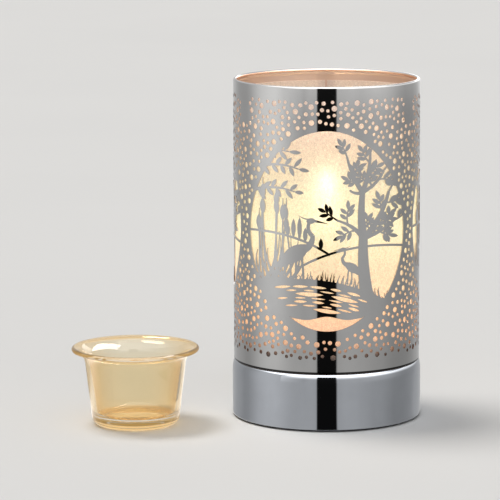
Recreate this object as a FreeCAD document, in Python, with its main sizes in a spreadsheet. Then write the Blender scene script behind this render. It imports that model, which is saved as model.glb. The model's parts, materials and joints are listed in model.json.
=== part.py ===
# Electric wax warmer: a touch lamp with a pierced steel shade and a flared glass dish beside it.
# Millimetres. The origin is on the lamp's axis at the table, +Z is up and the front faces -Y.
import FreeCAD, Part
import math
import os
import Sketcher
from types import SimpleNamespace
from FreeCAD import Placement, Rotation, Vector

# Driving sizes, each written once
dimensions = {
    # shade
    "shade_diameter": 100.0,
    "shade_height": 151.6,
    "shade_sheet": 0.6,
    "shade_rest_gap": 0.1,
    "rim_fold_depth": 3.0,
    "window_width": 81.0,
    "window_height": 108.3,
    "window_rise": 74.5,
    "window_count": 3,
    "dot_pitch": 9.8,
    "dot_large": 3.0,
    "dot_small": 2.0,
    "dot_margin": 3.0,
    "plain_band_top": 6.0,
    "plain_band_bottom": 9.5,
    # picture in each window
    "hill_drop": 24.0,
    "hill_radius": 80.0,
    "hill_shift": 12.0,
    "trunk_width": 7.0,
    "furrow_length": 15.0,
    "furrow_width": 2.2,
    "furrow_spacing": 8.0,
    "furrow_step": 18.75,
    "furrow_margin": 3.0,
    "leaf_length": 9.0,
    "leaf_width": 3.6,
    # frosted liner
    "liner_sheet": 0.6,
    "liner_gap": 0.3,
    "liner_drop": 6.5,
    "liner_rise": 1.5,
    "liner_split": 1.2,
    "slot_clearance": 0.6,
    # ring that holds the dish
    "ring_drop": 12.0,
    "ring_sheet": 1.0,
    "ring_band": 6.0,
    "ring_lip_depth": 3.0,
    "ring_clearance": 0.25,
    "arm_count": 3,
    "arm_width": 8.0,
    "tab_length": 8.0,
    "weld_gap": 0.05,
    # glass dish
    "dish_rim_diameter": 68.0,
    "dish_neck_diameter": 53.5,
    "dish_foot_diameter": 47.0,
    "dish_height": 42.0,
    "dish_flare_height": 9.5,
    "dish_wall": 2.4,
    "dish_floor": 4.5,
    "dish_corner": 4.5,
    "dish_left": 102.0,
    "dish_front": 28.0,
    # base
    "base_overhang": 0.8,
    "base_height": 32.0,
    "base_wall": 1.0,
    "base_shoulder": 4.0,
    "base_table_gap": 1.0,
    "foot_height": 3.0,
    "foot_width": 7.0,
    "foot_inset": 3.0,
    "foot_chamfer": 0.5,
    "cover_thickness": 1.5,
    "cover_clearance": 0.3,
    "screw_to_foot": 1.2,
    "vent_radius": 2.0,
    "vent_circle": 26.0,
    "vent_count": 12,
    "collar_sheet": 0.8,
    "collar_height": 14.0,
    "collar_clearance": 0.5,
    "collar_corner": 2.0,
    # fasteners
    "pillar_flats": 6.0,
    "pillar_bore_depth": 12.0,
    "screw_diameter": 3.0,
    "screw_length": 9.0,
    "screw_head_diameter": 5.6,
    "screw_head_height": 1.8,
    "screw_clearance": 0.2,
    "thread_gap": 0.05,
    "fastener_count": 3,
    # lamp post
    "post_diameter": 10.0,
    "post_bore": 7.0,
    "post_clearance": 0.2,
    "post_stub": 2.5,
    "post_chamfer": 0.5,
    "nut_flats": 14.0,
    "nut_height": 3.0,
    "bracket_height": 45.0,
    "bracket_sheet": 1.0,
    "bracket_width": 14.0,
    "bracket_leg": 12.5,
    # lamp holder
    "holder_diameter": 20.0,
    "holder_flats": 17.2,
    "holder_screw_depth": 5.0,
    "holder_screw_drop": 3.9,
    "holder_height": 19.5,
    "holder_clearance": 1.5,
    "socket_depth": 9.0,
    "socket_clearance": 0.3,
    "socket_seat_gap": 0.05,
    "contact_pocket_length": 13.6,
    "contact_pocket_width": 4.4,
    "contact_sheet": 0.4,
    "contact_width": 3.0,
    "contact_height": 7.0,
    "contact_gap": 0.1,
    "lead_diameter": 2.2,
    "lead_spacing": 3.2,
    # capsule bulb
    "bulb_diameter": 14.0,
    "bulb_length": 30.0,
    "bulb_glass": 1.0,
    "bulb_foot_radius": 3.0,
    "pinch_width": 14.6,
    "pinch_thickness": 4.4,
    "pinch_height": 11.0,
    "pinch_corner": 1.2,
    "pin_spacing": 9.0,
    "pin_width": 2.4,
    "pin_length": 5.5,
    "pin_wire": 0.8,
    "filament_length": 12.0,
    "filament_diameter": 1.8,
    "filament_rise": 15.5,
    "support_diameter": 0.6,
    "bridge_diameter": 0.45,
    "support_spacing": 5.0,
    # cord inlet
    "cord_height": 14.0,
    "cord_bore": 6.2,
    "gland_neck": 9.8,
    "gland_flange": 13.0,
    "gland_flange_thickness": 2.0,
    "gland_length": 9.0,
    "gland_clearance": 0.1,
    "gland_nut_flats": 14.0,
    "gland_nut_height": 3.0,
    # touch dimmer
    "board_length": 54.0,
    "board_width": 34.0,
    "board_thickness": 1.6,
    "board_shift": 6.0,
    "board_rise": 5.0,
    "board_hole_inset": 3.5,
    "spacer_diameter": 5.5,
    "board_screw_length": 6.1,
    "terminal_length": 12.0,
    "terminal_width": 8.0,
    "terminal_height": 10.0,
    "film_length": 18.0,
    "film_width": 8.0,
    "film_height": 13.0,
    "film_reach": 11.0,
    "film_back": 17.0,
    "can_diameter": 8.0,
    "can_height": 11.5,
    "can_reach": 17.0,
    "can_back": 15.0,
    "chip_length": 9.8,
    "chip_width": 6.4,
    "chip_height": 3.4,
    "chip_reach": 5.0,
    "chip_back": 15.0,
    "triac_width": 10.0,
    "triac_thickness": 4.4,
    "triac_height": 9.0,
    "triac_tab": 1.3,
    "triac_tab_rise": 6.0,
    "triac_reach": 16.0,
    "triac_back": 2.5,
    "stud_reach": 33.0,
    "stud_back": 8.0,
    "stud_length": 7.0,
    "lug_diameter": 7.0,
    "lug_thickness": 0.8,
    "lug_tail": 8.0,
    "touch_lead_diameter": 1.5,
    "touch_lead_straight": 5.7,
    "touch_pad_reach": 22.0,
}

doc = FreeCAD.newDocument("wax_warmer")
sheet = doc.addObject("Spreadsheet::Sheet", "sizes")


# A length that carries its formula for the document and its number for this script
class Size:
    def __init__(self, formula, number):
        self.formula = formula
        self.number = number

    def __add__(self, other):
        other = as_size(other)
        return Size(f"({self.formula} + {other.formula})", self.number + other.number)

    def __sub__(self, other):
        other = as_size(other)
        return Size(f"({self.formula} - {other.formula})", self.number - other.number)

    def __mul__(self, other):
        other = as_size(other)
        return Size(f"({self.formula} * {other.formula})", self.number * other.number)

    def __truediv__(self, other):
        other = as_size(other)
        return Size(f"({self.formula} / {other.formula})", self.number / other.number)

    def __neg__(self):
        return Size(f"(-1 * {self.formula})", -self.number)

    def root(self):
        return Size(f"sqrt({self.formula})", math.sqrt(self.number))

    def at_least(self, other):
        other = as_size(other)
        return Size(f"max({self.formula}; {other.formula})", max(self.number, other.number))


def as_size(value):
    return value if isinstance(value, Size) else Size(repr(float(value)), float(value))


# The spreadsheet: a name, a plain number and an alias in each row
def fill_sheet():
    table = {}
    for row, (name, number) in enumerate(dimensions.items(), start=1):
        sheet.set(f"A{row}", name)
        sheet.set(f"B{row}", str(number))
        sheet.setAlias(f"B{row}", name)
        table[name] = Size(f"sizes.{name}", float(number))
    doc.recompute()
    return SimpleNamespace(**table)


d = fill_sheet()
zero = as_size(0)
parts = {}


def keep(node, item):
    item.Label = node
    parts[node] = item
    return item


# Binds a property of an object to a size
def bind(item, prop, size):
    item.setExpression(prop, as_size(size).formula)


def place(item, x=zero, y=zero, z=zero):
    bind(item, "Placement.Base.x", x)
    bind(item, "Placement.Base.y", y)
    bind(item, "Placement.Base.z", z)


# Part primitives, placed by the centre of their foot
def cylinder(name, radius, height, x=zero, y=zero, z=zero, rotation=None):
    item = doc.addObject("Part::Cylinder", name)
    bind(item, "Radius", radius)
    bind(item, "Height", height)
    if rotation:
        item.Placement = Placement(Vector(0, 0, 0), rotation)
    place(item, x, y, z)
    return item


def box(name, length, width, height, x=zero, y=zero, z=zero):
    item = doc.addObject("Part::Box", name)
    bind(item, "Length", length)
    bind(item, "Width", width)
    bind(item, "Height", height)
    place(item, as_size(x) - as_size(length) / 2, as_size(y) - as_size(width) / 2, z)
    return item


def hexagon(name, flats, height, x=zero, y=zero, z=zero):
    item = doc.addObject("Part::Prism", name)
    item.Polygon = 6
    bind(item, "Circumradius", flats / math.sqrt(3))
    bind(item, "Height", height)
    place(item, x, y, z)
    return item


def fused(name, items):
    item = doc.addObject("Part::MultiFuse", name)
    item.Shapes = items
    return item


def cut(name, base, tools):
    tool = tools[0]
    if len(tools) > 1:
        tool = group(f"{name}_tools", tools)
    item = doc.addObject("Part::Cut", name)
    item.Base = base
    item.Tool = tool
    return item


def group(name, items):
    item = doc.addObject("Part::Compound", name)
    item.Links = items
    return item


# PartDesign bodies with fully constrained sketches
def new_body(name):
    return doc.addObject("PartDesign::Body", name)


def origin_feature(body, role):
    return next(item for item in body.Origin.OriginFeatures if item.Role == role)


def new_sketch(body, name, plane, lift=None):
    sketch = body.newObject("Sketcher::SketchObject", name)
    sketch.AttachmentSupport = [(origin_feature(body, plane), "")]
    sketch.MapMode = "FlatFace"
    if lift is not None:
        bind(sketch, "AttachmentOffset.Base.z", lift)
    return sketch


# Holds one point of a sketch at two sizes from the origin
def pin_point(sketch, geometry, end, x, y):
    for value, kind, axis in ((x, "DistanceX", -2), (y, "DistanceY", -1)):
        if value.number == 0:
            sketch.addConstraint(Sketcher.Constraint("PointOnObject", geometry, end, axis))
        else:
            index = sketch.addConstraint(Sketcher.Constraint(kind, -1, 1, geometry, end, value.number))
            sketch.setExpression(f"Constraints[{index}]", value.formula)


# A closed loop of lines and arcs. A corner is (x, y), or (x, y, radius, side) where an arc starts:
# side is 1 with the arc's centre on the left of the way round, and -1 on the right.
def add_loop(sketch, corners):
    ends = []
    for index, corner in enumerate(corners):
        after = corners[(index + 1) % len(corners)]
        start = Vector(as_size(corner[0]).number, as_size(corner[1]).number, 0)
        finish = Vector(as_size(after[0]).number, as_size(after[1]).number, 0)
        if len(corner) == 2:
            geometry = sketch.addGeometry(Part.LineSegment(start, finish), False)
            ends.append((geometry, 1, 2))
            continue
        radius, side = as_size(corner[2]), corner[3]
        chord = finish - start
        rise = math.sqrt(max(radius.number ** 2 - chord.Length ** 2 / 4, 0))
        across = Vector(-chord.y, chord.x, 0).normalize()
        centre = (start + finish) * 0.5 + across * (rise * side)
        first, last = (start, finish) if side > 0 else (finish, start)
        angle_first = math.atan2(first.y - centre.y, first.x - centre.x)
        angle_last = math.atan2(last.y - centre.y, last.x - centre.x)
        circle = Part.Circle(centre, Vector(0, 0, 1), radius.number)
        geometry = sketch.addGeometry(Part.ArcOfCircle(circle, angle_first, angle_last), False)
        ends.append((geometry, 1, 2) if side > 0 else (geometry, 2, 1))
        if rise > 1e-6:
            number = sketch.addConstraint(Sketcher.Constraint("Radius", geometry, radius.number))
            sketch.setExpression(f"Constraints[{number}]", radius.formula)
    for index, (geometry, begin, _) in enumerate(ends):
        before, _, finish = ends[index - 1]
        sketch.addConstraint(Sketcher.Constraint("Coincident", before, finish, geometry, begin))
        pin_point(sketch, geometry, begin, as_size(corners[index][0]), as_size(corners[index][1]))


def add_circle(sketch, x, y, radius):
    x, y, radius = as_size(x), as_size(y), as_size(radius)
    circle = Part.Circle(Vector(x.number, y.number, 0), Vector(0, 0, 1), radius.number)
    geometry = sketch.addGeometry(circle, False)
    index = sketch.addConstraint(Sketcher.Constraint("Radius", geometry, radius.number))
    sketch.setExpression(f"Constraints[{index}]", radius.formula)
    pin_point(sketch, geometry, 3, x, y)


def rectangle(low_x, low_y, high_x, high_y):
    return [(low_x, low_y), (high_x, low_y), (high_x, high_y), (low_x, high_y)]


# A body of revolution round its own Z axis, from a profile of (radius, height) corners
def turned(name, corners):
    body = new_body(name)
    sketch = new_sketch(body, f"{name}_profile", "XZ_Plane")
    add_loop(sketch, corners)
    turn = body.newObject("PartDesign::Revolution", f"{name}_turn")
    turn.Profile = sketch
    turn.ReferenceAxis = (sketch, ["V_Axis"])
    turn.Angle = 360
    body.Tip = turn
    return body


def pad(body, sketch, name, length, reverse=False, midplane=False):
    feature = body.newObject("PartDesign::Pad", name)
    feature.Profile = sketch
    bind(feature, "Length", length)
    feature.Reversed = reverse
    feature.Midplane = midplane
    body.Tip = feature
    return feature


def pocket(body, sketch, name, length, reverse=False, midplane=False):
    feature = body.newObject("PartDesign::Pocket", name)
    feature.Profile = sketch
    bind(feature, "Length", length)
    feature.Reversed = reverse
    feature.Midplane = midplane
    body.Tip = feature
    return feature


def around(body, name, features, count):
    pattern = body.newObject("PartDesign::PolarPattern", name)
    pattern.Originals = features
    pattern.Axis = (origin_feature(body, "Z_Axis"), [""])
    pattern.Angle = 360
    bind(pattern, "Occurrences", count)
    body.Tip = pattern
    return pattern


# Heights and radii that several pieces share
shade_radius = d.shade_diameter / 2
shade_inside = shade_radius - d.shade_sheet
base_radius = shade_radius + d.base_overhang
shoulder_start = base_radius - d.base_shoulder
shoulder_reach = (shade_inside - shoulder_start).at_least(0)
shade_bottom = (d.base_height - d.base_shoulder + d.shade_rest_gap
                + (d.base_shoulder * d.base_shoulder - shoulder_reach * shoulder_reach).root())
shade_top = shade_bottom + d.shade_height
liner_outside = shade_inside - d.liner_gap
liner_inside = liner_outside - d.liner_sheet
plate_underside = d.base_height - d.base_wall
collar_radius = liner_inside - d.collar_clearance
post_radius = d.post_diameter / 2
post_hole = post_radius + d.post_clearance
cover_bottom = d.foot_height
cover_top = cover_bottom + d.cover_thickness
bracket_bottom = d.base_height + d.bracket_height
bracket_top = bracket_bottom + d.bracket_sheet
post_top = bracket_top + d.nut_height + d.post_chamfer
holder_bottom = bracket_top + d.nut_height + d.holder_clearance
holder_top = holder_bottom + d.holder_height
pinch_bottom = holder_top - d.socket_depth
bulb_bottom = pinch_bottom + d.pinch_height
board_bottom = cover_top + d.board_rise
board_top = board_bottom + d.board_thickness
screw_radius = d.screw_diameter / 2
screw_hole = screw_radius + d.screw_clearance
foot_outside = base_radius - d.base_wall - d.foot_inset
foot_inside = foot_outside - d.foot_width
cover_screw_circle = foot_inside - d.screw_head_diameter / 2 - d.screw_to_foot
pillar_start = 30
holder_half = d.holder_flats / 2
side_screw_height = bracket_bottom + d.bracket_leg - d.holder_screw_drop
ring_top = shade_top - d.ring_drop
ring_inside = d.dish_neck_diameter / 2 + d.ring_clearance
bulb_radius = d.bulb_diameter / 2
bulb_top = bulb_bottom + d.bulb_length
window_centre = shade_bottom + d.window_rise


# Spun steel cup with a rounded shoulder, open below, with a hole for the cord's gland at the back
def make_base_shell():
    inner = base_radius - d.base_wall
    body = turned("base_shell_body", [
        (base_radius, d.base_table_gap),
        (base_radius, d.base_height - d.base_shoulder, d.base_shoulder, 1),
        (shoulder_start, d.base_height),
        (post_hole, d.base_height),
        (post_hole, plate_underside),
        (shoulder_start, plate_underside, d.base_shoulder - d.base_wall, -1),
        (inner, d.base_height - d.base_shoulder),
        (inner, d.base_table_gap),
    ])
    sketch = new_sketch(body, "gland_hole_sketch", "XZ_Plane")
    add_circle(sketch, 0, d.cord_height, d.gland_neck / 2 + d.gland_clearance)
    pocket(body, sketch, "gland_hole", base_radius * 2)
    keep("base_shell", body)


# Rubber ring that the lamp stands on
def make_foot_ring():
    keep("foot_ring", turned("foot_ring_body", [
        (foot_inside + d.foot_chamfer, 0),
        (foot_outside - d.foot_chamfer, 0),
        (foot_outside, d.foot_chamfer),
        (foot_outside, d.foot_height),
        (foot_inside, d.foot_height),
        (foot_inside, d.foot_chamfer),
    ]))


# Positions on a circle, the first one at the front
def ring_positions(radius, count, start_degrees):
    for index in range(count):
        angle = math.radians(start_degrees + 360 * index / count)
        yield index, radius * math.cos(angle), radius * math.sin(angle)


# Pressed disc with vents that closes the base, held by three screws
def make_bottom_cover():
    body = new_body("bottom_cover_body")
    disc = new_sketch(body, "cover_outline", "XY_Plane", cover_bottom)
    add_circle(disc, 0, 0, base_radius - d.base_wall - d.cover_clearance)
    pad(body, disc, "cover_disc", d.cover_thickness)
    holes = new_sketch(body, "cover_screw_hole_sketch", "XY_Plane", cover_bottom)
    add_circle(holes, cover_screw_circle * math.cos(math.radians(pillar_start)),
               cover_screw_circle * math.sin(math.radians(pillar_start)), screw_hole)
    first = pocket(body, holes, "cover_screw_hole", d.cover_thickness, reverse=True)
    around(body, "cover_screw_holes", [first], d.fastener_count)
    vents = new_sketch(body, "vent_sketch", "XY_Plane", cover_bottom)
    add_circle(vents, d.vent_circle, 0, d.vent_radius)
    vent = pocket(body, vents, "vent", d.cover_thickness, reverse=True)
    around(body, "vents", [vent], d.vent_count)
    keep("bottom_cover", body)


# Hexagonal pillars hang from the shell's top plate and take the screws of the cover
def make_cover_pillars():
    pillars = []
    screws = []
    for index, x, y in ring_positions(cover_screw_circle, round(d.fastener_count.number), pillar_start):
        solid = hexagon(f"pillar_solid_{index}", d.pillar_flats, plate_underside - cover_top,
                        x, y, cover_top)
        bore = cylinder(f"pillar_bore_{index}", screw_radius + d.thread_gap, d.pillar_bore_depth,
                        x, y, cover_top)
        pillars.append(cut(f"pillar_{index}", solid, [bore]))
        shank = cylinder(f"cover_screw_shank_{index}", screw_radius, d.screw_length, x, y, cover_bottom)
        head = cylinder(f"cover_screw_head_{index}", d.screw_head_diameter / 2, d.screw_head_height,
                        x, y, cover_bottom - d.screw_head_height)
        screws.append(fused(f"cover_screw_{index}", [shank, head]))
    keep("cover_pillars", group("cover_pillars_group", pillars))
    keep("cover_screws", group("cover_screws_group", screws))


# Drawn steel tray on the base: it centres the shade and keeps its foot dark
def make_shade_collar():
    tray_inner = collar_radius - d.collar_sheet
    inner_corner = d.collar_corner - d.collar_sheet
    keep("shade_collar", turned("shade_collar_body", [
        (post_hole, d.base_height),
        (collar_radius - d.collar_corner, d.base_height, d.collar_corner, 1),
        (collar_radius, d.base_height + d.collar_corner),
        (collar_radius, d.base_height + d.collar_height),
        (tray_inner, d.base_height + d.collar_height),
        (tray_inner, d.base_height + d.collar_corner, inner_corner, -1),
        (collar_radius - d.collar_corner, d.base_height + d.collar_sheet),
        (post_hole, d.base_height + d.collar_sheet),
    ]))


# Threaded tube that clamps shell, tray and bracket with four nuts
def make_lamp_post():
    bottom = plate_underside - d.nut_height - d.post_stub
    bore = d.post_bore / 2
    keep("lamp_post", turned("lamp_post_body", [
        (bore, bottom),
        (post_radius - d.post_chamfer, bottom),
        (post_radius, bottom + d.post_chamfer),
        (post_radius, post_top - d.post_chamfer),
        (post_radius - d.post_chamfer, post_top),
        (bore, post_top),
    ]))
    nuts = []
    heights = {
        "below_plate": plate_underside - d.nut_height,
        "above_tray": d.base_height + d.collar_sheet,
        "below_bracket": bracket_bottom - d.nut_height,
        "above_bracket": bracket_top,
    }
    for name, height in heights.items():
        solid = hexagon(f"nut_solid_{name}", d.nut_flats, d.nut_height, z=height)
        bore_tool = cylinder(f"nut_bore_{name}", post_radius + d.thread_gap, d.nut_height, z=height)
        nuts.append(cut(f"nut_{name}", solid, [bore_tool]))
    keep("post_nuts", group("post_nuts_group", nuts))


# Folded steel strip: a flat foot on the post and two legs along the flats of the lamp holder
def make_holder_bracket():
    outer = holder_half + d.bracket_sheet
    leg_top = bracket_bottom + d.bracket_leg
    body = new_body("holder_bracket_body")
    profile = new_sketch(body, "bracket_profile", "YZ_Plane")
    add_loop(profile, [
        (-outer, bracket_bottom),
        (outer, bracket_bottom),
        (outer, leg_top),
        (holder_half, leg_top),
        (holder_half, bracket_top),
        (-holder_half, bracket_top),
        (-holder_half, leg_top),
        (-outer, leg_top),
    ])
    pad(body, profile, "bracket_strip", d.bracket_width, midplane=True)
    hole = new_sketch(body, "bracket_hole_sketch", "XY_Plane", bracket_bottom)
    add_circle(hole, 0, 0, post_hole)
    pocket(body, hole, "bracket_hole", d.bracket_sheet * 2, midplane=True)
    side = new_sketch(body, "bracket_screw_sketch", "XZ_Plane")
    add_circle(side, 0, side_screw_height, screw_hole)
    pocket(body, side, "bracket_screw_holes", outer * 3, midplane=True)
    keep("holder_bracket", body)


# The two ends of the bracket: a name, a side and the turn that points a cylinder at the axis
bracket_sides = (("front", -1, Rotation(Vector(1, 0, 0), -90)), ("back", 1, Rotation(Vector(1, 0, 0), 90)))


# Two screws through the legs into the holder's flats
def make_holder_screws():
    screws = []
    for name, side, inwards in bracket_sides:
        outer = (holder_half + d.bracket_sheet) * side
        shank = cylinder(f"holder_screw_shank_{name}", screw_radius, d.bracket_sheet + d.holder_screw_depth,
                         y=outer, z=side_screw_height, rotation=inwards)
        head = cylinder(f"holder_screw_head_{name}", d.screw_head_diameter / 2, d.screw_head_height,
                        y=outer + d.screw_head_height * side, z=side_screw_height, rotation=inwards)
        screws.append(fused(f"holder_screw_{name}", [shank, head]))
    keep("holder_screws", group("holder_screws_group", screws))


# Glazed ceramic body: round with two flats, a socket for the bulb's pinch and a pocket for contacts
def make_lamp_holder():
    around_body = cylinder("holder_round", d.holder_diameter / 2, d.holder_height, z=holder_bottom)
    flats = box("holder_flats_box", d.holder_diameter, d.holder_flats, d.holder_height, z=holder_bottom)
    body = doc.addObject("Part::Common", "holder_outside")
    body.Base = around_body
    body.Tool = flats
    socket_floor = pinch_bottom - d.socket_seat_gap
    socket = box("holder_socket", d.pinch_width + d.socket_clearance * 2,
                 d.pinch_thickness + d.socket_clearance * 2, holder_top - socket_floor, z=socket_floor)
    well = box("holder_contact_pocket", d.contact_pocket_length, d.contact_pocket_width,
               d.holder_height - d.socket_depth, z=holder_bottom)
    tools = [fused("holder_opening", [socket, well])]
    for name, side, inwards in bracket_sides:
        tools.append(cylinder(f"holder_screw_bore_{name}", screw_radius + d.thread_gap,
                              d.holder_screw_depth + d.thread_gap, y=holder_half * side,
                              z=side_screw_height, rotation=inwards))
    keep("lamp_holder", cut("lamp_holder_cut", body, tools))


# Two brass springs, each a leaf beside a bulb pin with a tail where its lead is crimped
def make_holder_contacts():
    leaf_x = d.pin_spacing / 2 + d.pin_width / 2 + d.contact_gap
    bottom = pinch_bottom - d.contact_height
    contacts = []
    for name, sign in (("left", -1), ("right", 1)):
        leaf = box(f"contact_leaf_{name}", d.contact_sheet, d.contact_width, d.contact_height,
                   x=(leaf_x + d.contact_sheet / 2) * sign, z=bottom)
        tail_start = d.lead_spacing / 2 - d.lead_diameter / 4
        tail_end = leaf_x + d.contact_sheet
        tail = box(f"contact_tail_{name}", tail_end - tail_start, d.contact_width, d.contact_sheet,
                   x=(tail_start + tail_end) / 2 * sign, z=bottom)
        contacts.append(fused(f"contact_{name}", [leaf, tail]))
    keep("holder_contacts", group("holder_contacts_group", contacts))


# Two insulated leads run straight up inside the post, from the terminal block to the contacts
def make_lamp_leads():
    bottom = board_top + d.terminal_height
    top = pinch_bottom - d.contact_height
    leads = []
    for name, sign in (("left", -1), ("right", 1)):
        leads.append(cylinder(f"lamp_lead_{name}", d.lead_diameter / 2, top - bottom,
                              x=d.lead_spacing / 2 * sign, z=bottom))
    keep("lamp_leads", group("lamp_leads_group", leads))


# Halogen capsule: a hollow glass tube with a domed top and a rounded foot
def make_bulb_glass():
    inner = bulb_radius - d.bulb_glass
    foot_inner = d.bulb_foot_radius - d.bulb_glass
    keep("bulb_glass", turned("bulb_glass_body", [
        (0, bulb_bottom),
        (bulb_radius - d.bulb_foot_radius, bulb_bottom, d.bulb_foot_radius, 1),
        (bulb_radius, bulb_bottom + d.bulb_foot_radius),
        (bulb_radius, bulb_top - bulb_radius, bulb_radius, 1),
        (0, bulb_top),
        (0, bulb_top - d.bulb_glass, inner, -1),
        (inner, bulb_top - bulb_radius),
        (inner, bulb_bottom + d.bulb_foot_radius, foot_inner, -1),
        (bulb_radius - d.bulb_foot_radius, bulb_bottom + d.bulb_glass),
        (0, bulb_bottom + d.bulb_glass),
    ]))


def make_bulb_pinch():
    half_x = d.pinch_width / 2
    half_y = d.pinch_thickness / 2
    near_x = half_x - d.pinch_corner
    near_y = half_y - d.pinch_corner
    body = new_body("bulb_pinch_body")
    outline = new_sketch(body, "pinch_outline", "XY_Plane", pinch_bottom)
    add_loop(outline, [
        (-near_x, -half_y), (near_x, -half_y, d.pinch_corner, 1),
        (half_x, -near_y), (half_x, near_y, d.pinch_corner, 1),
        (near_x, half_y), (-near_x, half_y, d.pinch_corner, 1),
        (-half_x, near_y), (-half_x, -near_y, d.pinch_corner, 1),
    ])
    pad(body, outline, "pinch_block", d.pinch_height)
    keep("bulb_pinch", body)


# Each pin is a flat loop of wire, round at its lower end
def make_bulb_pins():
    pins = []
    bottom = pinch_bottom - d.pin_length
    for name, sign in (("left", -1), ("right", 1)):
        centre = d.pin_spacing / 2 * sign
        body = new_body(f"bulb_pin_{name}")
        sketch = new_sketch(body, f"pin_outline_{name}", "XZ_Plane")
        for half in (d.pin_width / 2, d.pin_width / 2 - d.pin_wire):
            floor = bottom + d.pin_width / 2
            roof = pinch_bottom - (d.pin_width / 2 - half)
            add_loop(sketch, [
                (centre - half, floor, half, 1),
                (centre, floor - half, half, 1),
                (centre + half, floor),
                (centre + half, roof),
                (centre - half, roof),
            ])
        pad(body, sketch, f"pin_loop_{name}", d.pin_wire, midplane=True)
        pins.append(body)
    keep("bulb_pins", group("bulb_pins_group", pins))


# Upright filament between two support wires that stand on the glass floor of the capsule
def make_filament():
    low = bulb_bottom + d.filament_rise
    high = low + d.filament_length
    floor = bulb_bottom + d.bulb_glass
    reach = d.support_spacing / 2
    support = d.support_diameter / 2
    bridge = d.bridge_diameter / 2
    sideways = Rotation(Vector(0, 1, 0), 90)
    pieces = [
        cylinder("filament_coil", d.filament_diameter / 2, d.filament_length, z=low),
        cylinder("support_left", support, low + d.support_diameter * 2 - floor, x=-reach, z=floor),
        cylinder("support_right", support, high - floor, x=reach, z=floor),
        cylinder("bridge_left", bridge, reach, x=-reach, z=low + d.support_diameter, rotation=sideways),
        cylinder("bridge_right", bridge, reach, z=high - d.support_diameter, rotation=sideways),
    ]
    keep("filament", fused("filament_wire", pieces))


# Rolled steel shade with a folded rim, before it is pierced
def make_shade_blank():
    fold = d.shade_sheet
    fold_inside = shade_inside - fold
    return turned("shade_blank", [
        (shade_inside, shade_bottom),
        (shade_radius, shade_bottom),
        (shade_radius, shade_top - fold, fold, 1),
        (shade_inside, shade_top, fold, 1),
        (fold_inside, shade_top - fold),
        (fold_inside, shade_top - d.rim_fold_depth),
        (shade_inside, shade_top - d.rim_fold_depth),
    ])


# A tapered bough between two points of the window's plane, with round ends
def bough(start, finish, width_start, width_finish):
    along = (finish - start).normalize()
    side = Vector(-along.z, 0, along.x)
    corners = [start + side * width_start, finish + side * width_finish,
               finish - side * width_finish, start - side * width_start]
    outline = Part.makePolygon(corners + corners[:1])
    discs = [Part.Face(Part.Wire(Part.makeCircle(width, point, Vector(0, -1, 0))))
             for point, width in ((start, width_start), (finish, width_finish))]
    return [Part.Face(outline)] + discs


# A pointed leaf of two arcs, from its stalk in a given direction
def leaf(stalk, degrees):
    length, width = d.leaf_length.number, d.leaf_width.number / 2
    along = Vector(math.cos(math.radians(degrees)), 0, math.sin(math.radians(degrees)))
    side = Vector(-along.z, 0, along.x)
    tip = stalk + along * length
    middle = stalk + along * (length / 2)
    arcs = [Part.Arc(stalk, middle + side * width, tip), Part.Arc(tip, middle - side * width, stalk)]
    return Part.Face(Part.Wire([arc.toShape() for arc in arcs]))


# The tree's joints, across and up from the window's centre, as shares of its half width and half height
tree_places = {
    "root": (0.52, -0.62),
    "fork": (0.47, -0.05),
    "crown": (0.46, 0.4),
    "right_end": (0.8, 0.38),
    "left_end": (0.26, 0.74),
    "top_end": (0.56, 0.78),
    "low_end": (0.14, 0.13),
}
# Where each bough starts and ends, with its half widths there as shares of the trunk's
tree_boughs = (
    ("root", "fork", 1.0, 0.66),
    ("fork", "crown", 0.66, 0.4),
    ("fork", "right_end", 0.5, 0.3),
    ("crown", "left_end", 0.4, 0.2),
    ("crown", "top_end", 0.4, 0.25),
    ("fork", "low_end", 0.4, 0.2),
)
# Each leaf of a bough: how far along it grows, and how many degrees it turns from the bough
leaf_places = ((1.0, 0), (0.98, 48), (0.98, -48), (0.7, 62), (0.66, -62), (0.42, 58))
leafless_boughs = 2
# Slits to each side of the middle one in a row of furrows
furrow_reach = 3


# What each window leaves standing: a hill, and a broad tree with leaves at the ends of its boughs
def picture_faces(front_y):
    half_width, half_height = d.window_width.number / 2, d.window_height.number / 2
    centre_z = window_centre.number
    hill_radius = d.hill_radius.number
    hill_top = centre_z - d.hill_drop.number
    hill_centre = Vector(-d.hill_shift.number, front_y, hill_top - hill_radius)
    faces = [Part.Face(Part.Wire(Part.makeCircle(hill_radius, hill_centre, Vector(0, -1, 0))))]
    trunk = d.trunk_width.number / 2
    spots = {name: Vector(across * half_width, front_y, centre_z + up * half_height)
             for name, (across, up) in tree_places.items()}
    for number, (low, high, share_low, share_high) in enumerate(tree_boughs):
        start, finish = spots[low], spots[high]
        faces.extend(bough(start, finish, trunk * share_low, trunk * share_high))
        if number < leafless_boughs:
            continue
        way = math.degrees(math.atan2(finish.z - start.z, finish.x - start.x))
        for share, turn in leaf_places:
            faces.append(leaf(start + (finish - start) * share, way + turn))
    return faces


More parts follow.
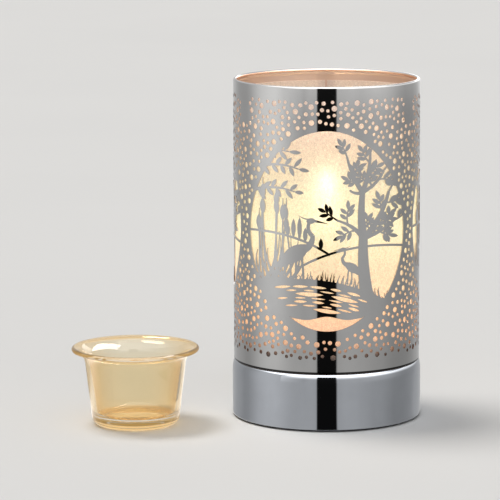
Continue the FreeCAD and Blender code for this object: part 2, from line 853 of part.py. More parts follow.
# Lens-shaped slits in bowed rows across the hill, inside the oval
def furrow_faces(front_y):
    half_width, half_height = d.window_width.number / 2, d.window_height.number / 2
    margin = d.furrow_margin.number
    length, width = d.furrow_length.number, d.furrow_width.number / 2
    hill_top = window_centre.number - d.hill_drop.number
    foot = window_centre.number - half_height
    faces = []
    for row in range(1, int((hill_top - foot) / d.furrow_spacing.number)):
        hill_centre = hill_top - row * d.furrow_spacing.number
        for step in range(-furrow_reach, furrow_reach + 1):
            middle_x = (step + 0.5 * (row % 2)) * d.furrow_step.number
            bow = (middle_x + d.hill_shift.number) ** 2 / (2 * d.hill_radius.number)
            middle = Vector(middle_x, front_y, hill_centre - bow)
            reach = (abs(middle_x) + length / 2) / (half_width - margin)
            drop = (window_centre.number - middle.z) / (half_height - margin)
            if reach ** 2 + drop ** 2 > 1:
                continue
            left, right = middle - Vector(length / 2, 0, 0), middle + Vector(length / 2, 0, 0)
            arcs = [Part.Arc(left, middle + Vector(0, 0, width), right),
                    Part.Arc(right, middle - Vector(0, 0, width), left)]
            faces.append(Part.Face(Part.Wire([arc.toShape() for arc in arcs])))
    return faces


# Prisms that cut the sky and the furrows of one window out of the front wall of the shade
def window_tool():
    front_y = -(shade_radius.number + d.shade_sheet.number)
    half_width, half_height = d.window_width.number / 2, d.window_height.number / 2
    centre = Vector(0, front_y, window_centre.number)
    oval = Part.Ellipse(centre + Vector(0, 0, half_height), centre + Vector(half_width, 0, 0), centre)
    sky = Part.Face(Part.Wire(oval.toShape())).cut(picture_faces(front_y))
    wall_back = math.sqrt(shade_inside.number ** 2 - half_width ** 2) - 2 * d.shade_sheet.number
    openings = sky.Faces + furrow_faces(front_y)
    return Part.makeCompound([face.extrude(Vector(0, -front_y - wall_back, 0)) for face in openings])


# Round holes in staggered rows all over the shade, except in and near the windows
def dot_tools():
    radius = shade_radius.number
    count = round(d.window_count.number)
    columns = count * round(2 * math.pi * radius / d.dot_pitch.number / count)
    low = shade_bottom.number + d.plain_band_bottom.number
    high = shade_top.number - d.plain_band_top.number
    rows = int((high - low) / (d.dot_pitch.number * math.sqrt(3) / 2)) + 1
    arc_width = radius * math.asin(d.window_width.number / 2 / radius) + d.dot_margin.number
    arc_height = d.window_height.number / 2 + d.dot_margin.number
    sector = 2 * math.pi / count
    tools = []
    for row in range(rows):
        height = low + (high - low) * row / (rows - 1)
        for column in range(columns):
            angle = 2 * math.pi * (column + 0.5 * (row % 2)) / columns
            across = ((angle + sector / 2) % sector - sector / 2) * radius
            up = height - window_centre.number
            if (across / arc_width) ** 2 + (up / arc_height) ** 2 < 1:
                continue
            size = (d.dot_large if (row + column) % 2 else d.dot_small).number / 2
            outward = Vector(math.sin(angle), -math.cos(angle), 0)
            start = outward * (shade_inside.number - 2 * d.shade_sheet.number)
            start.z = height
            tools.append(Part.makeCylinder(size, 4 * d.shade_sheet.number, start, outward))
    return tools


def make_shade_sheet():
    blank = make_shade_blank()
    first = window_tool()
    count = round(d.window_count.number)
    tools = []
    for index in range(count):
        turned_tool = first.copy()
        turned_tool.rotate(Vector(0, 0, 0), Vector(0, 0, 1), 360 * index / count)
        tools.extend(turned_tool.Solids)
    piercing = doc.addObject("Part::Feature", "piercing")
    piercing.Shape = Part.makeCompound(tools + dot_tools())
    keep("shade_sheet", cut("shade_sheet_cut", blank, [piercing]))


# Frosted sheet rolled inside the shade: its ends meet at the back, and slots let the ring's tabs through
def make_diffuser_liner():
    bottom = shade_bottom + d.liner_rise
    top = shade_top - d.liner_drop
    body = turned("diffuser_liner_body", rectangle(liner_inside, bottom, liner_outside, top))
    half = d.arm_width / 2 + d.slot_clearance
    slot_bottom = ring_top - d.tab_length - d.slot_clearance
    slot = new_sketch(body, "liner_slot_sketch", "XZ_Plane")
    add_loop(slot, rectangle(-half, slot_bottom, half, ring_top + d.slot_clearance))
    first = pocket(body, slot, "liner_slot", shade_radius * 2)
    around(body, "liner_slots", [first], d.arm_count)
    gap = d.liner_split / 2
    split = new_sketch(body, "liner_split_sketch", "XZ_Plane")
    add_loop(split, rectangle(-gap, bottom - d.liner_sheet, gap, top + d.liner_sheet))
    pocket(body, split, "liner_split", shade_radius * 2)
    keep("diffuser_liner", body)


# Pressed ring with a turned-down lip, and three arms whose tabs are welded inside the shade
def make_dish_ring():
    ring_outside = ring_inside + d.ring_band
    ring_bottom = ring_top - d.ring_sheet
    lip = ring_inside + d.ring_sheet
    body = turned("dish_ring_body", [
        (ring_inside, ring_bottom - d.ring_lip_depth),
        (lip, ring_bottom - d.ring_lip_depth),
        (lip, ring_bottom),
        (ring_outside, ring_bottom),
        (ring_outside, ring_top),
        (ring_inside, ring_top),
    ])
    half = d.arm_width / 2
    wall = shade_inside - d.weld_gap
    tab_outside = (wall * wall - half * half).root()
    arm_sketch = new_sketch(body, "ring_arm_sketch", "XY_Plane", ring_bottom)
    add_loop(arm_sketch, rectangle(-half, ring_outside - d.ring_band / 2, half, tab_outside))
    arm = pad(body, arm_sketch, "ring_arm", d.ring_sheet)
    tab_sketch = new_sketch(body, "ring_tab_sketch", "XY_Plane", ring_top)
    add_loop(tab_sketch, rectangle(-half, tab_outside - d.ring_sheet, half, tab_outside))
    tab = pad(body, tab_sketch, "ring_tab", d.tab_length, reverse=True)
    around(body, "ring_arms", [arm, tab], d.arm_count)
    keep("dish_ring", body)


# Flared glass dish with a thick floor, standing to the left of the lamp
def make_glass_dish():
    neck = d.dish_neck_diameter / 2
    foot = d.dish_foot_diameter / 2
    rim = d.dish_rim_diameter / 2
    wall = d.dish_wall
    bead = wall / 2
    flare_start = d.dish_height - d.dish_flare_height
    flare_end = d.dish_height - wall
    out_x = rim - bead - neck
    out_z = flare_end - flare_start
    flare = (out_x * out_x + out_z * out_z) / (out_x * 2)
    corner = d.dish_corner
    body = turned("glass_dish_body", [
        (0, 0),
        (foot - corner, 0, corner, 1),
        (foot, corner),
        (neck, flare_start, flare, -1),
        (rim - bead, flare_end, bead, 1),
        (rim, d.dish_height - bead, bead, 1),
        (rim - bead, d.dish_height, flare + wall, 1),
        (neck - wall, flare_start),
        (foot - wall, corner + d.dish_floor, corner, -1),
        (foot - wall - corner, d.dish_floor),
        (0, d.dish_floor),
    ])
    place(body, -d.dish_left, -d.dish_front, zero)
    keep("glass_dish", body)


# Cord inlet at the back: a bush with a flange outside the shell and a nut inside
def make_cord_gland():
    backwards = Rotation(Vector(1, 0, 0), -90)
    bore = d.cord_bore / 2
    neck = d.gland_neck / 2
    flange = d.gland_flange / 2
    inner_end = d.gland_flange_thickness - d.gland_length
    chamfer = d.gland_flange_thickness / 4
    body = turned("cord_gland_body", [
        (bore, inner_end),
        (neck, inner_end),
        (neck, 0),
        (flange, 0),
        (flange, d.gland_flange_thickness - chamfer),
        (flange - chamfer, d.gland_flange_thickness),
        (bore, d.gland_flange_thickness),
    ])
    body.Placement = Placement(Vector(0, 0, 0), backwards)
    place(body, zero, base_radius, d.cord_height)
    keep("cord_gland", body)
    wall_inside = base_radius - d.base_wall
    nut_corner = d.gland_nut_flats / math.sqrt(3)
    nut_seat = (wall_inside * wall_inside - nut_corner * nut_corner).root()
    nut_start = nut_seat - d.gland_nut_height
    solid = doc.addObject("Part::Prism", "gland_nut_solid")
    solid.Polygon = 6
    bind(solid, "Circumradius", nut_corner)
    bind(solid, "Height", d.gland_nut_height)
    solid.Placement = Placement(Vector(0, 0, 0), backwards)
    place(solid, zero, nut_start, d.cord_height)
    hole = cylinder("gland_nut_bore", neck + d.thread_gap, d.gland_nut_height, y=nut_start,
                    z=d.cord_height, rotation=backwards)
    keep("gland_nut", cut("gland_nut_cut", solid, [hole]))


# Circuit board of the touch dimmer on four spacers above the cover
def make_touch_board():
    centre_y = -d.board_shift
    board = box("board_plate", d.board_length, d.board_width, d.board_thickness, y=centre_y, z=board_bottom)
    holes = []
    spacers = []
    screws = []
    for index, (side, end) in enumerate(((-1, -1), (1, -1), (1, 1), (-1, 1))):
        x = (d.board_length / 2 - d.board_hole_inset) * side
        y = centre_y + (d.board_width / 2 - d.board_hole_inset) * end
        holes.append(cylinder(f"board_hole_{index}", screw_hole, d.board_thickness, x, y, board_bottom))
        solid = cylinder(f"spacer_solid_{index}", d.spacer_diameter / 2, d.board_rise, x, y, cover_top)
        bore = cylinder(f"spacer_bore_{index}", screw_radius + d.thread_gap, d.board_rise, x, y, cover_top)
        spacers.append(cut(f"board_spacer_{index}", solid, [bore]))
        shank = cylinder(f"board_screw_shank_{index}", screw_radius, d.board_screw_length,
                         x, y, board_top - d.board_screw_length)
        head = cylinder(f"board_screw_head_{index}", d.screw_head_diameter / 2, d.screw_head_height,
                        x, y, board_top)
        screws.append(fused(f"board_screw_{index}", [shank, head]))
    keep("touch_board", cut("touch_board_cut", board, holes))
    keep("board_spacers", group("board_spacers_group", spacers))
    keep("board_screws", group("board_screws_group", screws))


# Parts that stand on the board
def make_board_components():
    keep("terminal_block", box("terminal_block_body", d.terminal_length, d.terminal_width,
                               d.terminal_height, z=board_top))
    keep("film_capacitor", box("film_capacitor_body", d.film_length, d.film_width, d.film_height,
                               x=-d.film_reach, y=-d.film_back, z=board_top))
    keep("electrolytic_capacitor", cylinder("electrolytic_capacitor_body", d.can_diameter / 2, d.can_height,
                                            x=d.can_reach, y=-d.can_back, z=board_top))
    keep("touch_chip", box("touch_chip_body", d.chip_length, d.chip_width, d.chip_height,
                           x=d.chip_reach, y=-d.chip_back, z=board_top))
    moulding = box("triac_moulding", d.triac_width, d.triac_thickness, d.triac_height,
                   x=-d.triac_reach, y=-d.triac_back, z=board_top)
    tab = box("triac_tab_plate", d.triac_width, d.triac_tab, d.triac_height + d.triac_tab_rise,
              x=-d.triac_reach, y=(d.triac_thickness + d.triac_tab) / 2 - d.triac_back, z=board_top)
    keep("triac", fused("triac_body", [moulding, tab]))


# Tube along straight runs joined by tangent arcs
def wire_tube(points, radius):
    edges = []
    previous = points[0]
    for index in range(1, len(points) - 1):
        before, corner, after = points[index - 1], points[index], points[index + 1]
        into, out = (corner - before), (after - corner)
        turn = into.getAngle(out)
        set_back = 0.45 * min(into.Length, out.Length)
        start = corner - into.normalize() * set_back
        finish = corner + out.normalize() * set_back
        middle_way = (out - into).normalize()
        bend = set_back / math.tan(turn / 2)
        middle = corner + middle_way * (bend / math.cos(turn / 2) - bend)
        edges.append(Part.LineSegment(previous, start).toShape())
        edges.append(Part.Arc(start, middle, finish).toShape())
        previous = finish
        print("bend radius", round(bend, 2))
    edges.append(Part.LineSegment(previous, points[-1]).toShape())
    path = Part.Wire(edges)
    circle = Part.makeCircle(radius, points[0], points[1] - points[0])
    return path.makePipeShell([Part.Wire(circle)], True, False)


# Welded stud under the shell's top plate with the lug of the touch lead, which makes the metal a sensor
def make_touch_terminal():
    x, y = d.stud_reach, -d.stud_back
    stud_bottom = plate_underside - d.stud_length
    keep("touch_stud", cylinder("touch_stud_body", screw_radius, d.stud_length, x, y, stud_bottom))
    lug_bottom = plate_underside - d.lug_thickness
    ring = cylinder("lug_ring", d.lug_diameter / 2, d.lug_thickness, x, y, lug_bottom)
    tail = box("lug_tail_strip", d.lug_tail, d.lug_diameter / 2, d.lug_thickness,
               x - d.lug_tail / 2, y, lug_bottom)
    hole = cylinder("lug_hole", screw_radius + d.thread_gap, d.lug_thickness, x, y, lug_bottom)
    keep("touch_lug", cut("touch_lug_cut", fused("lug_outline", [ring, tail]), [hole]))
    nut_bottom = lug_bottom - d.screw_head_height
    solid = hexagon("stud_nut_solid", d.screw_head_diameter, d.screw_head_height, x, y, nut_bottom)
    bore = cylinder("stud_nut_bore", screw_radius + d.thread_gap, d.screw_head_height, x, y, nut_bottom)
    keep("touch_nut", cut("touch_nut_cut", solid, [bore]))
    lead = doc.addObject("Part::Feature", "touch_lead_tube")
    top_x = x.number - d.lug_tail.number + d.touch_lead_diameter.number
    straight = d.touch_lead_straight.number
    points = [
        Vector(top_x, y.number, lug_bottom.number),
        Vector(top_x, y.number, lug_bottom.number - straight),
        Vector(d.touch_pad_reach.number, y.number, board_top.number + straight),
        Vector(d.touch_pad_reach.number, y.number, board_top.number),
    ]
    lead.Shape = wire_tube(points, d.touch_lead_diameter.number / 2)
    keep("touch_lead", lead)


make_foot_ring()
make_bottom_cover()
make_cover_pillars()
make_base_shell()
make_cord_gland()
make_touch_board()
make_board_components()
make_touch_terminal()
make_shade_collar()
make_lamp_post()
make_holder_bracket()
make_holder_screws()
make_lamp_holder()
make_holder_contacts()
make_lamp_leads()
make_bulb_glass()
make_bulb_pinch()
make_bulb_pins()
make_filament()
make_shade_sheet()
make_diffuser_liner()
make_dish_ring()
make_glass_dish()
doc.recompute()

# Every object has to be sound before anything is written
for item in doc.Objects:
    faults = [word for word in item.State if word in ("Invalid", "Error")]
    if faults:
        raise RuntimeError(f"{item.Name} is {faults}")
for node, item in parts.items():
    if item.Shape.isNull() or not item.Shape.isValid():
        raise RuntimeError(f"{node} has no valid shape")

os.makedirs("parts", exist_ok=True)
for node, item in parts.items():
    item.Shape.exportStep(f"parts/{node}.step")
    extent = item.Shape.BoundBox
    print(f"{node}: {len(item.Shape.Solids)} solids, {item.Shape.Volume:.1f} mm3,",
          f"x {extent.XMin:.2f} {extent.XMax:.2f}, y {extent.YMin:.2f} {extent.YMax:.2f},",
          f"z {extent.ZMin:.2f} {extent.ZMax:.2f}")
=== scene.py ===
# Electric wax warmer: a pierced mirror shade round a frosted liner, a chromed base, a capsule bulb
# and an amber glass dish. Metres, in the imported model's frame: the lamp's axis is Z, its front
# faces -Y and the dish stands to the left. Each piece's own sizes are in millimetres.
import json
import math
import random
import bpy
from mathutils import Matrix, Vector
from mathutils.geometry import delaunay_2d_cdt

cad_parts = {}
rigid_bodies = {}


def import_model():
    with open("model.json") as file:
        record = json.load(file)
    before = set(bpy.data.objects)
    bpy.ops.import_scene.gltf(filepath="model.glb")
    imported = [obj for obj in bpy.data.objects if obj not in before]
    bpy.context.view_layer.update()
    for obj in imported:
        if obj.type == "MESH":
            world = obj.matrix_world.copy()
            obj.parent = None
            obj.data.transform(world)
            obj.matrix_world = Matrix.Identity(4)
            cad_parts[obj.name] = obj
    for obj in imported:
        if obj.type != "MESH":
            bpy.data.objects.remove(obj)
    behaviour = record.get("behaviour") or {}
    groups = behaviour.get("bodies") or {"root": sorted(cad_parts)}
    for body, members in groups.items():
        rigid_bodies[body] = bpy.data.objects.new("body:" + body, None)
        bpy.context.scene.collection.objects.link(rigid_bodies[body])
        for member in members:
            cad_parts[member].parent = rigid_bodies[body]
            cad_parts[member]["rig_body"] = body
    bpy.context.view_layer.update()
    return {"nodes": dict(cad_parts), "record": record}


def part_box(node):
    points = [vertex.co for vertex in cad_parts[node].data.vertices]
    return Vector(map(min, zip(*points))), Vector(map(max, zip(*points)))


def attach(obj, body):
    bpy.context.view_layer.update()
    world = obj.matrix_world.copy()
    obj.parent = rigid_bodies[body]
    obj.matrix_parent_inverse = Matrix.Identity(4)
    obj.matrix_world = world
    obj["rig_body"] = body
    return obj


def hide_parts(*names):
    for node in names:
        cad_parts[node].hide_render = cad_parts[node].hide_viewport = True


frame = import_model()        # bodies, nodes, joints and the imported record
mm = 0.001
sameSpot = 0.002 * mm    # points nearer than this become one
scene = bpy.context.scene
print("frame loaded:", len(frame["nodes"]), "nodes")

portrait = {
    "place": (-0.0093, -1.6702, 0.3556),
    "turn": (80.945, 0.19, 1.065),    # degrees
    "lens": 225.9,
}


def setCamera():
    turn = [math.radians(degrees) for degrees in portrait["turn"]]
    bpy.ops.object.camera_add(location=portrait["place"], rotation=turn)
    camera = bpy.context.object
    camera.name = "portrait_camera"
    camera.data.lens = portrait["lens"]
    camera.data.clip_end = 20
    scene.camera = camera
    scene.view_settings.view_transform = "Standard"


setCamera()


# A node's output that takes part in Python sums: numbers go through Math nodes
class Signal:
    def __init__(self, recipe, socket):
        self.recipe = recipe
        self.socket = socket

    def __add__(self, other):
        return self.recipe.sum("ADD", self, other)

    def __sub__(self, other):
        return self.recipe.sum("SUBTRACT", self, other)

    def __rsub__(self, other):
        return self.recipe.sum("SUBTRACT", other, self)

    def __mul__(self, other):
        return self.recipe.sum("MULTIPLY", self, other)

    def __truediv__(self, other):
        return self.recipe.sum("DIVIDE", self, other)

    def __pow__(self, other):
        return self.recipe.sum("POWER", self, other)

    __radd__ = __add__


# One material or world under construction, with a method that adds any node
class Recipe:
    def __init__(self, name, kind="materials"):
        self.made = getattr(bpy.data, kind).new(name)
        self.made.use_nodes = True
        self.tree = self.made.node_tree
        self.tree.nodes.clear()

    def node(self, kind, settings=None, values=None, output=0):
        made = self.tree.nodes.new("ShaderNode" + kind)
        for key, value in (settings or {}).items():
            if key == "stops":
                self.setStops(made.color_ramp.elements, value)
            else:
                setattr(made, key, value)
        for key, value in (values or {}).items():
            if isinstance(value, Signal):
                self.tree.links.new(value.socket, made.inputs[key])
            else:
                made.inputs[key].default_value = value
        return Signal(self, made.outputs[output]) if made.outputs else None

    def setStops(self, elements, stops):
        while len(elements) < len(stops):
            elements.new(1.0)
        for element, (position, colour) in zip(elements, stops):
            element.position = position
            element.color = (*colour, 1)

    def sum(self, operation, first, second):
        return self.node("Math", {"operation": operation}, {0: first, 1: second})

    def place(self):
        return self.node("TexCoord", output="Object")

    def stretched(self, scale):
        return self.node("Mapping", values={"Vector": self.place(), "Scale": scale})

    def axis(self, name):
        return self.node("SeparateXYZ", values={"Vector": self.place()}, output=name)

    # distance from the lamp's axis
    def outward(self):
        flat = self.stretched((1, 1, 0))
        return self.node("VectorMath", {"operation": "LENGTH"}, {0: flat}, output=1)

    def noise(self, scale, detail, vector=None):
        values = {"Vector": vector or self.place(), "Scale": scale, "Detail": detail}
        return self.node("TexNoise", values=values)

    def clamp(self, value):
        return self.node("Clamp", values={0: value})

    def ramp(self, stops, factor):
        return self.node("ValToRGB", {"stops": stops}, {"Fac": factor})

    def mix(self, factor, first, second, blend="MIX"):
        settings = {"data_type": "RGBA", "blend_type": blend}
        return self.node("Mix", settings, {0: factor, 6: first, 7: second}, output=2)

    def bump(self, height, distance):
        return self.node("Bump", values={"Strength": 1.0, "Distance": distance, "Height": height})

    def finish(self, values):
        shader = self.node("BsdfPrincipled", values=values)
        self.node("OutputMaterial", values={"Surface": shader})
        return self.made


def opaque(colour, share=1):
    return (*(part * share for part in colour), 1)


def greys(levels):
    return [(position, (level, level, level)) for position, level in levels]


# Metals: a slow change of tone, a little uneven gloss, and a bump that bows or grains the sheet.
# Painted shade darkens the shade's lowest edge, for the shadow in the gap at its seat. Inside, its wall
# is duller and tinted warm, a painted reflection of the glowing film; its hem has a golden painted
# highlight.
metals = {
    "shadeNickel": {
        "colour": (0.60, 0.595, 0.585), "gloss": 0.04, "grain": 70, "wave": 26, "bow": 0.03,
        # painted shade at the lowest edge: heights in mm, and its darkest tone
        "edge": (31.9, 32.1), "edgeTone": 0.06,
        # painted reflections inside: a warm tint on the wall for the glowing film, a golden hem for the bulb
        "inside": (
            {"radius": 49.7, "low": 0.0, "high": 181.0, "gloss": 0.28, "colour": (0.64, 0.51, 0.44)},
            {"radius": 49.0, "low": 181.0, "high": 182.4, "gloss": 0.12, "colour": (0.98, 0.70, 0.53)},
        ),
        "fade": 0.1,
    },
    "baseChrome": {"colour": (0.57, 0.595, 0.635), "gloss": 0.03, "grain": 90, "wave": 14, "bow": 0.01},
    "traySteel": {"colour": (0.40, 0.37, 0.34), "gloss": 0.32, "grain": 900, "wave": 420, "bow": 0.02},
    "zincPlate": {"colour": (0.60, 0.60, 0.56), "gloss": 0.30, "grain": 500, "wave": 700, "bow": 0.02},
    "brass": {"colour": (0.72, 0.52, 0.22), "gloss": 0.28, "grain": 400, "wave": 500, "bow": 0.01},
}
metalPatches = {"tone": 0.86, "gloss": 0.35}    # darkest tone, and how far the gloss varies, as shares


def metalFinish(name):
    metal = metals[name]
    recipe = Recipe(name)
    tone = recipe.noise(metal["grain"], 4)
    colour = recipe.mix(tone, opaque(metal["colour"]), opaque(metal["colour"], metalPatches["tone"]))
    # painted shade: a dark band at the lowest edge for the shadow of the gap at the seat
    if "edge" in metal:
        low, high = metal["edge"]
        above = (recipe.axis("Z") - low * mm) / ((high - low) * mm)
        lit = recipe.ramp(greys(((0, metal["edgeTone"]), (1, 1))), above)
        colour = recipe.mix(1.0, colour, lit, "MULTIPLY")
    gloss = metal["gloss"] + tone * (metalPatches["gloss"] * metal["gloss"])
    # painted reflection: the inner wall's warm tint and the hem's gold stand for the glow they mirror
    for zone in metal.get("inside", ()):
        height = recipe.axis("Z")
        depths = (
            zone["radius"] * mm - recipe.outward(), height - zone["low"] * mm, zone["high"] * mm - height,
        )
        share = 1.0
        for depth in depths:
            share = recipe.clamp(depth / (metal["fade"] * mm)) * share
        colour = recipe.mix(share, colour, opaque(zone["colour"]))
        gloss = gloss + share * (zone["gloss"] - metal["gloss"])
    return recipe.finish({
        "Base Color": colour,
        "Metallic": 1.0,
        "Roughness": gloss,
        "Normal": recipe.bump(recipe.noise(metal["wave"], 2), metal["bow"] * mm),
    })


# Plastics, rubber, paint and enamel: colour, gloss, mottles, depth of the moulded skin, coat
plastics = {
    "footRubber": ((0.022, 0.022, 0.024), 0.75, 1400, 0.06, 0.0),
    "coverPaint": ((0.030, 0.030, 0.033), 0.48, 2600, 0.05, 0.1),
    "blackPlastic": ((0.025, 0.025, 0.027), 0.42, 2200, 0.02, 0.0),
    "whiteNylon": ((0.78, 0.77, 0.72), 0.45, 900, 0.01, 0.0),
    "terminalPlastic": ((0.70, 0.71, 0.68), 0.35, 900, 0.01, 0.1),
    "capacitorYellow": ((0.72, 0.45, 0.05), 0.28, 600, 0.02, 0.3),
    "capacitorBlack": ((0.02, 0.025, 0.05), 0.22, 600, 0.01, 0.4),
    "boardGreen": ((0.02, 0.16, 0.06), 0.30, 350, 0.03, 0.4),
    "redInsulation": ((0.50, 0.03, 0.02), 0.38, 500, 0.01, 0.0),
    "whiteInsulation": ((0.74, 0.73, 0.69), 0.50, 700, 0.02, 0.0),
    "holderCeramic": ((0.80, 0.78, 0.71), 0.22, 260, 0.03, 0.6),
}
plasticPatches = {"tone": 0.8, "gloss": 0.12}    # darkest tone as a share, and what the gloss gains


def plasticFinish(name):
    colour, gloss, mottles, skin, coat = plastics[name]
    recipe = Recipe(name)
    mottle = recipe.noise(mottles, 4)
    return recipe.finish({
        "Base Color": recipe.mix(mottle, opaque(colour), opaque(colour, plasticPatches["tone"])),
        "Roughness": gloss + mottle * plasticPatches["gloss"],
        "Coat Weight": coat,
        "Normal": recipe.bump(mottle, skin * mm),
    })


# Frosted film: its own glow stands for the light spread inside it, warmer away from the bulb
film = {
    "low": 34.0, "high": 176.0,
    "glow": [
        (0.03, (0.03, 0.014, 0.009)), (0.045, (0.10, 0.045, 0.027)), (0.065, (0.45, 0.23, 0.135)),
        (0.10, (0.92, 0.50, 0.285)), (0.20, (1.10, 0.65, 0.35)), (0.275, (0.96, 0.67, 0.39)),
        (0.35, (0.865, 0.65, 0.385)), (0.424, (0.90, 0.755, 0.445)), (0.50, (0.88, 0.805, 0.495)),
        (0.59, (0.79, 0.72, 0.43)), (0.70, (0.69, 0.576, 0.374)), (0.82, (0.70, 0.52, 0.36)),
        (0.89, (0.80, 0.59, 0.44)), (1.0, (0.98, 0.73, 0.62)),
    ],
    "strength": 0.50, "colour": (0.50, 0.47, 0.43),
    # painted shade: its foot is darker up to a share of the height, where the tray behind it keeps the light
    # away
    "footHeight": 0.08, "footTone": 0.25,
    # painted shade: its inner face glows less towards the top, heights as shares
    "inner": {"radius": 48.7, "fade": 0.2, "from": 0.89, "blend": 0.05, "dim": 0.85},
    "crystals": 850, "stretch": (1, 1, 0.7), "sparkle": 1900, "relief": 0.10,
    "grain": {"fibres": 0.6, "sparkle": 1.4, "even": 0.52},
}


def filmFinish():
    recipe = Recipe("frostedFilm")
    height = (recipe.axis("Z") - film["low"] * mm) / ((film["high"] - film["low"]) * mm)
    glow = recipe.ramp(film["glow"], height)
    fibres = recipe.noise(film["crystals"], 5, recipe.stretched(film["stretch"]))
    sparkle = recipe.noise(film["sparkle"], 2) ** 3
    grain = fibres * film["grain"]["fibres"] + sparkle * film["grain"]["sparkle"] + film["grain"]["even"]
    # painted shade: the inner face's glow dims near the top
    inner = film["inner"]
    within = recipe.clamp((inner["radius"] * mm - recipe.outward()) / (inner["fade"] * mm))
    above = recipe.clamp((height - inner["from"]) / inner["blend"])
    lit = grain * (1 - within * above * inner["dim"])
    # painted shade at the foot, behind the tray
    foot = recipe.clamp(height / film["footHeight"]) * (1 - film["footTone"]) + film["footTone"]
    return recipe.finish({
        "Base Color": recipe.mix(1.0, opaque(film["colour"]), grain * foot, "MULTIPLY"),
        "Roughness": 0.38,
        "IOR": 1.25,
        "Transmission Weight": 0.60,
        "Emission Color": recipe.mix(1.0, glow, lit, "MULTIPLY"),
        "Emission Strength": film["strength"],
        "Normal": recipe.bump(fibres, film["relief"] * mm),
    })


# Pressed glass, deeper amber where the eye looks along a wall, in the thick floor and in the lip;
# there it also glows faintly gold, a painted glint
dishGlass = {
    "clear": (0.95, 0.865, 0.67), "edge": (0.80, 0.45, 0.09), "edgePower": 1.5,
    # painted glint: a faint gold glow where the glass is deeper amber
    "glow": (1.0, 0.64, 0.18), "strength": 0.10,
    "floorTop": 5.0, "floorBlend": 2.0, "floorShare": 0.75,
    "lip": 40.0, "lipBlend": 1.2, "lipShare": 0.6,
    "ripple": 45, "stretch": (1, 1, 0.5), "depth": 0.18,
}


def dishFinish():
    recipe = Recipe("amberGlass")
    ripple = recipe.noise(dishGlass["ripple"], 2, recipe.stretched(dishGlass["stretch"]))
    facing = recipe.node("LayerWeight", values={"Blend": 0.5}, output="Facing")
    grazing = facing ** dishGlass["edgePower"]
    height = recipe.axis("Z")
    under = recipe.clamp((dishGlass["floorTop"] * mm - height) / (dishGlass["floorBlend"] * mm))
    over = recipe.clamp((height - dishGlass["lip"] * mm) / (dishGlass["lipBlend"] * mm))
    thick = under * dishGlass["floorShare"] + over * dishGlass["lipShare"]
    amberAndGlint = recipe.sum("MAXIMUM", grazing, thick)
    return recipe.finish({
        "Base Color": recipe.mix(amberAndGlint, opaque(dishGlass["clear"]), opaque(dishGlass["edge"])),
        "Roughness": 0.0,
        "IOR": 1.5,
        "Transmission Weight": 1.0,
        "Emission Color": recipe.mix(amberAndGlint, opaque((0, 0, 0)), opaque(dishGlass["glow"])),
        "Emission Strength": dishGlass["strength"],
        "Normal": recipe.bump(ripple, dishGlass["depth"] * mm),
    })


bulbGlass = {
    "clear": (0.95, 0.95, 0.93), "hazy": (0.86, 0.86, 0.84), "haze": 180, "gloss": 0.06, "hazeGloss": 0.05,
    "alpha": 0.22, "coat": 0.5, "glow": (1.0, 0.66, 0.36), "strength": 0.6,
}
tungsten = {
    "metal": (0.3, 0.28, 0.25), "gloss": 0.5, "warm": (1.0, 0.72, 0.42), "hot": (1.0, 0.82, 0.58),
    "patches": 1200, "strength": 700.0,
}


def bulbFinish():
    recipe = Recipe("bulbGlass")
    haze = recipe.noise(bulbGlass["haze"], 2)
    return recipe.finish({
        "Base Color": recipe.mix(haze, opaque(bulbGlass["clear"]), opaque(bulbGlass["hazy"])),
        "Roughness": bulbGlass["gloss"] + haze * bulbGlass["hazeGloss"],
        "Alpha": bulbGlass["alpha"],
        "Coat Weight": bulbGlass["coat"],
        "Emission Color": opaque(bulbGlass["glow"]),
        "Emission Strength": bulbGlass["strength"],
    })


def filamentFinish():
    recipe = Recipe("glowingTungsten")
    patches = recipe.noise(tungsten["patches"], 2)
    return recipe.finish({
        "Base Color": opaque(tungsten["metal"]),
        "Roughness": tungsten["gloss"],
        "Emission Color": recipe.mix(patches, opaque(tungsten["warm"]), opaque(tungsten["hot"])),
        "Emission Strength": tungsten["strength"],
    })


finishes = {name: metalFinish(name) for name in metals}
finishes |= {name: plasticFinish(name) for name in plastics}
finishes |= {"frostedFilm": filmFinish(), "amberGlass": dishFinish()}
finishes |= {"bulbGlass": bulbFinish(), "glowingTungsten": filamentFinish()}
# the other slots have their finish's name
otherNames = {
    "plated_steel": "zincPlate", "tungsten": "glowingTungsten", "frosted_liner": "frostedFilm",
    "dish_glass": "amberGlass",
}
nodeSlots = {row["node"]: row["material_slot"] for row in frame["record"]["subparts"]}


def giveFinish(piece, node):
    slot = nodeSlots[node]
    first, *others = slot.split("_")
    name = otherNames.get(slot, first + "".join(word.capitalize() for word in others))
    piece.data.materials.clear()
    piece.data.materials.append(finishes[name])


for node, piece in frame["nodes"].items():
    giveFinish(piece, node)
print("materials made:", len(finishes))


# A further piece of a node that another piece already stands for
def trim(piece, node):
    giveFinish(piece, node)
    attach(piece, frame["nodes"][node]["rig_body"])


# Hands a finished piece to the body and the slot of the CAD nodes that it stands for
def dress(piece, *nodes):
    trim(piece, nodes[0])
    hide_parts(*nodes)


def clearSelection():
    if bpy.context.object and bpy.context.object.mode != "OBJECT":
        bpy.ops.object.mode_set(mode="OBJECT")
    bpy.ops.object.select_all(action="DESELECT")


def pick(piece):
    clearSelection()
    piece.select_set(True)
    bpy.context.view_layer.objects.active = piece


def edit(piece):
    pick(piece)
    bpy.ops.object.mode_set(mode="EDIT")
    bpy.ops.mesh.select_all(action="SELECT")


def settle(piece, name):
    pick(piece)
    bpy.ops.object.transform_apply(location=True, rotation=True, scale=True)
    piece.name = name
    piece.data.name = name
    return piece


def modify(piece, kind, **settings):
    pick(piece)
    modifier = piece.modifiers.new(kind.lower(), kind)
    for key, value in settings.items():
        setattr(modifier, key, value)
    bpy.ops.object.modifier_apply(modifier=modifier.name)


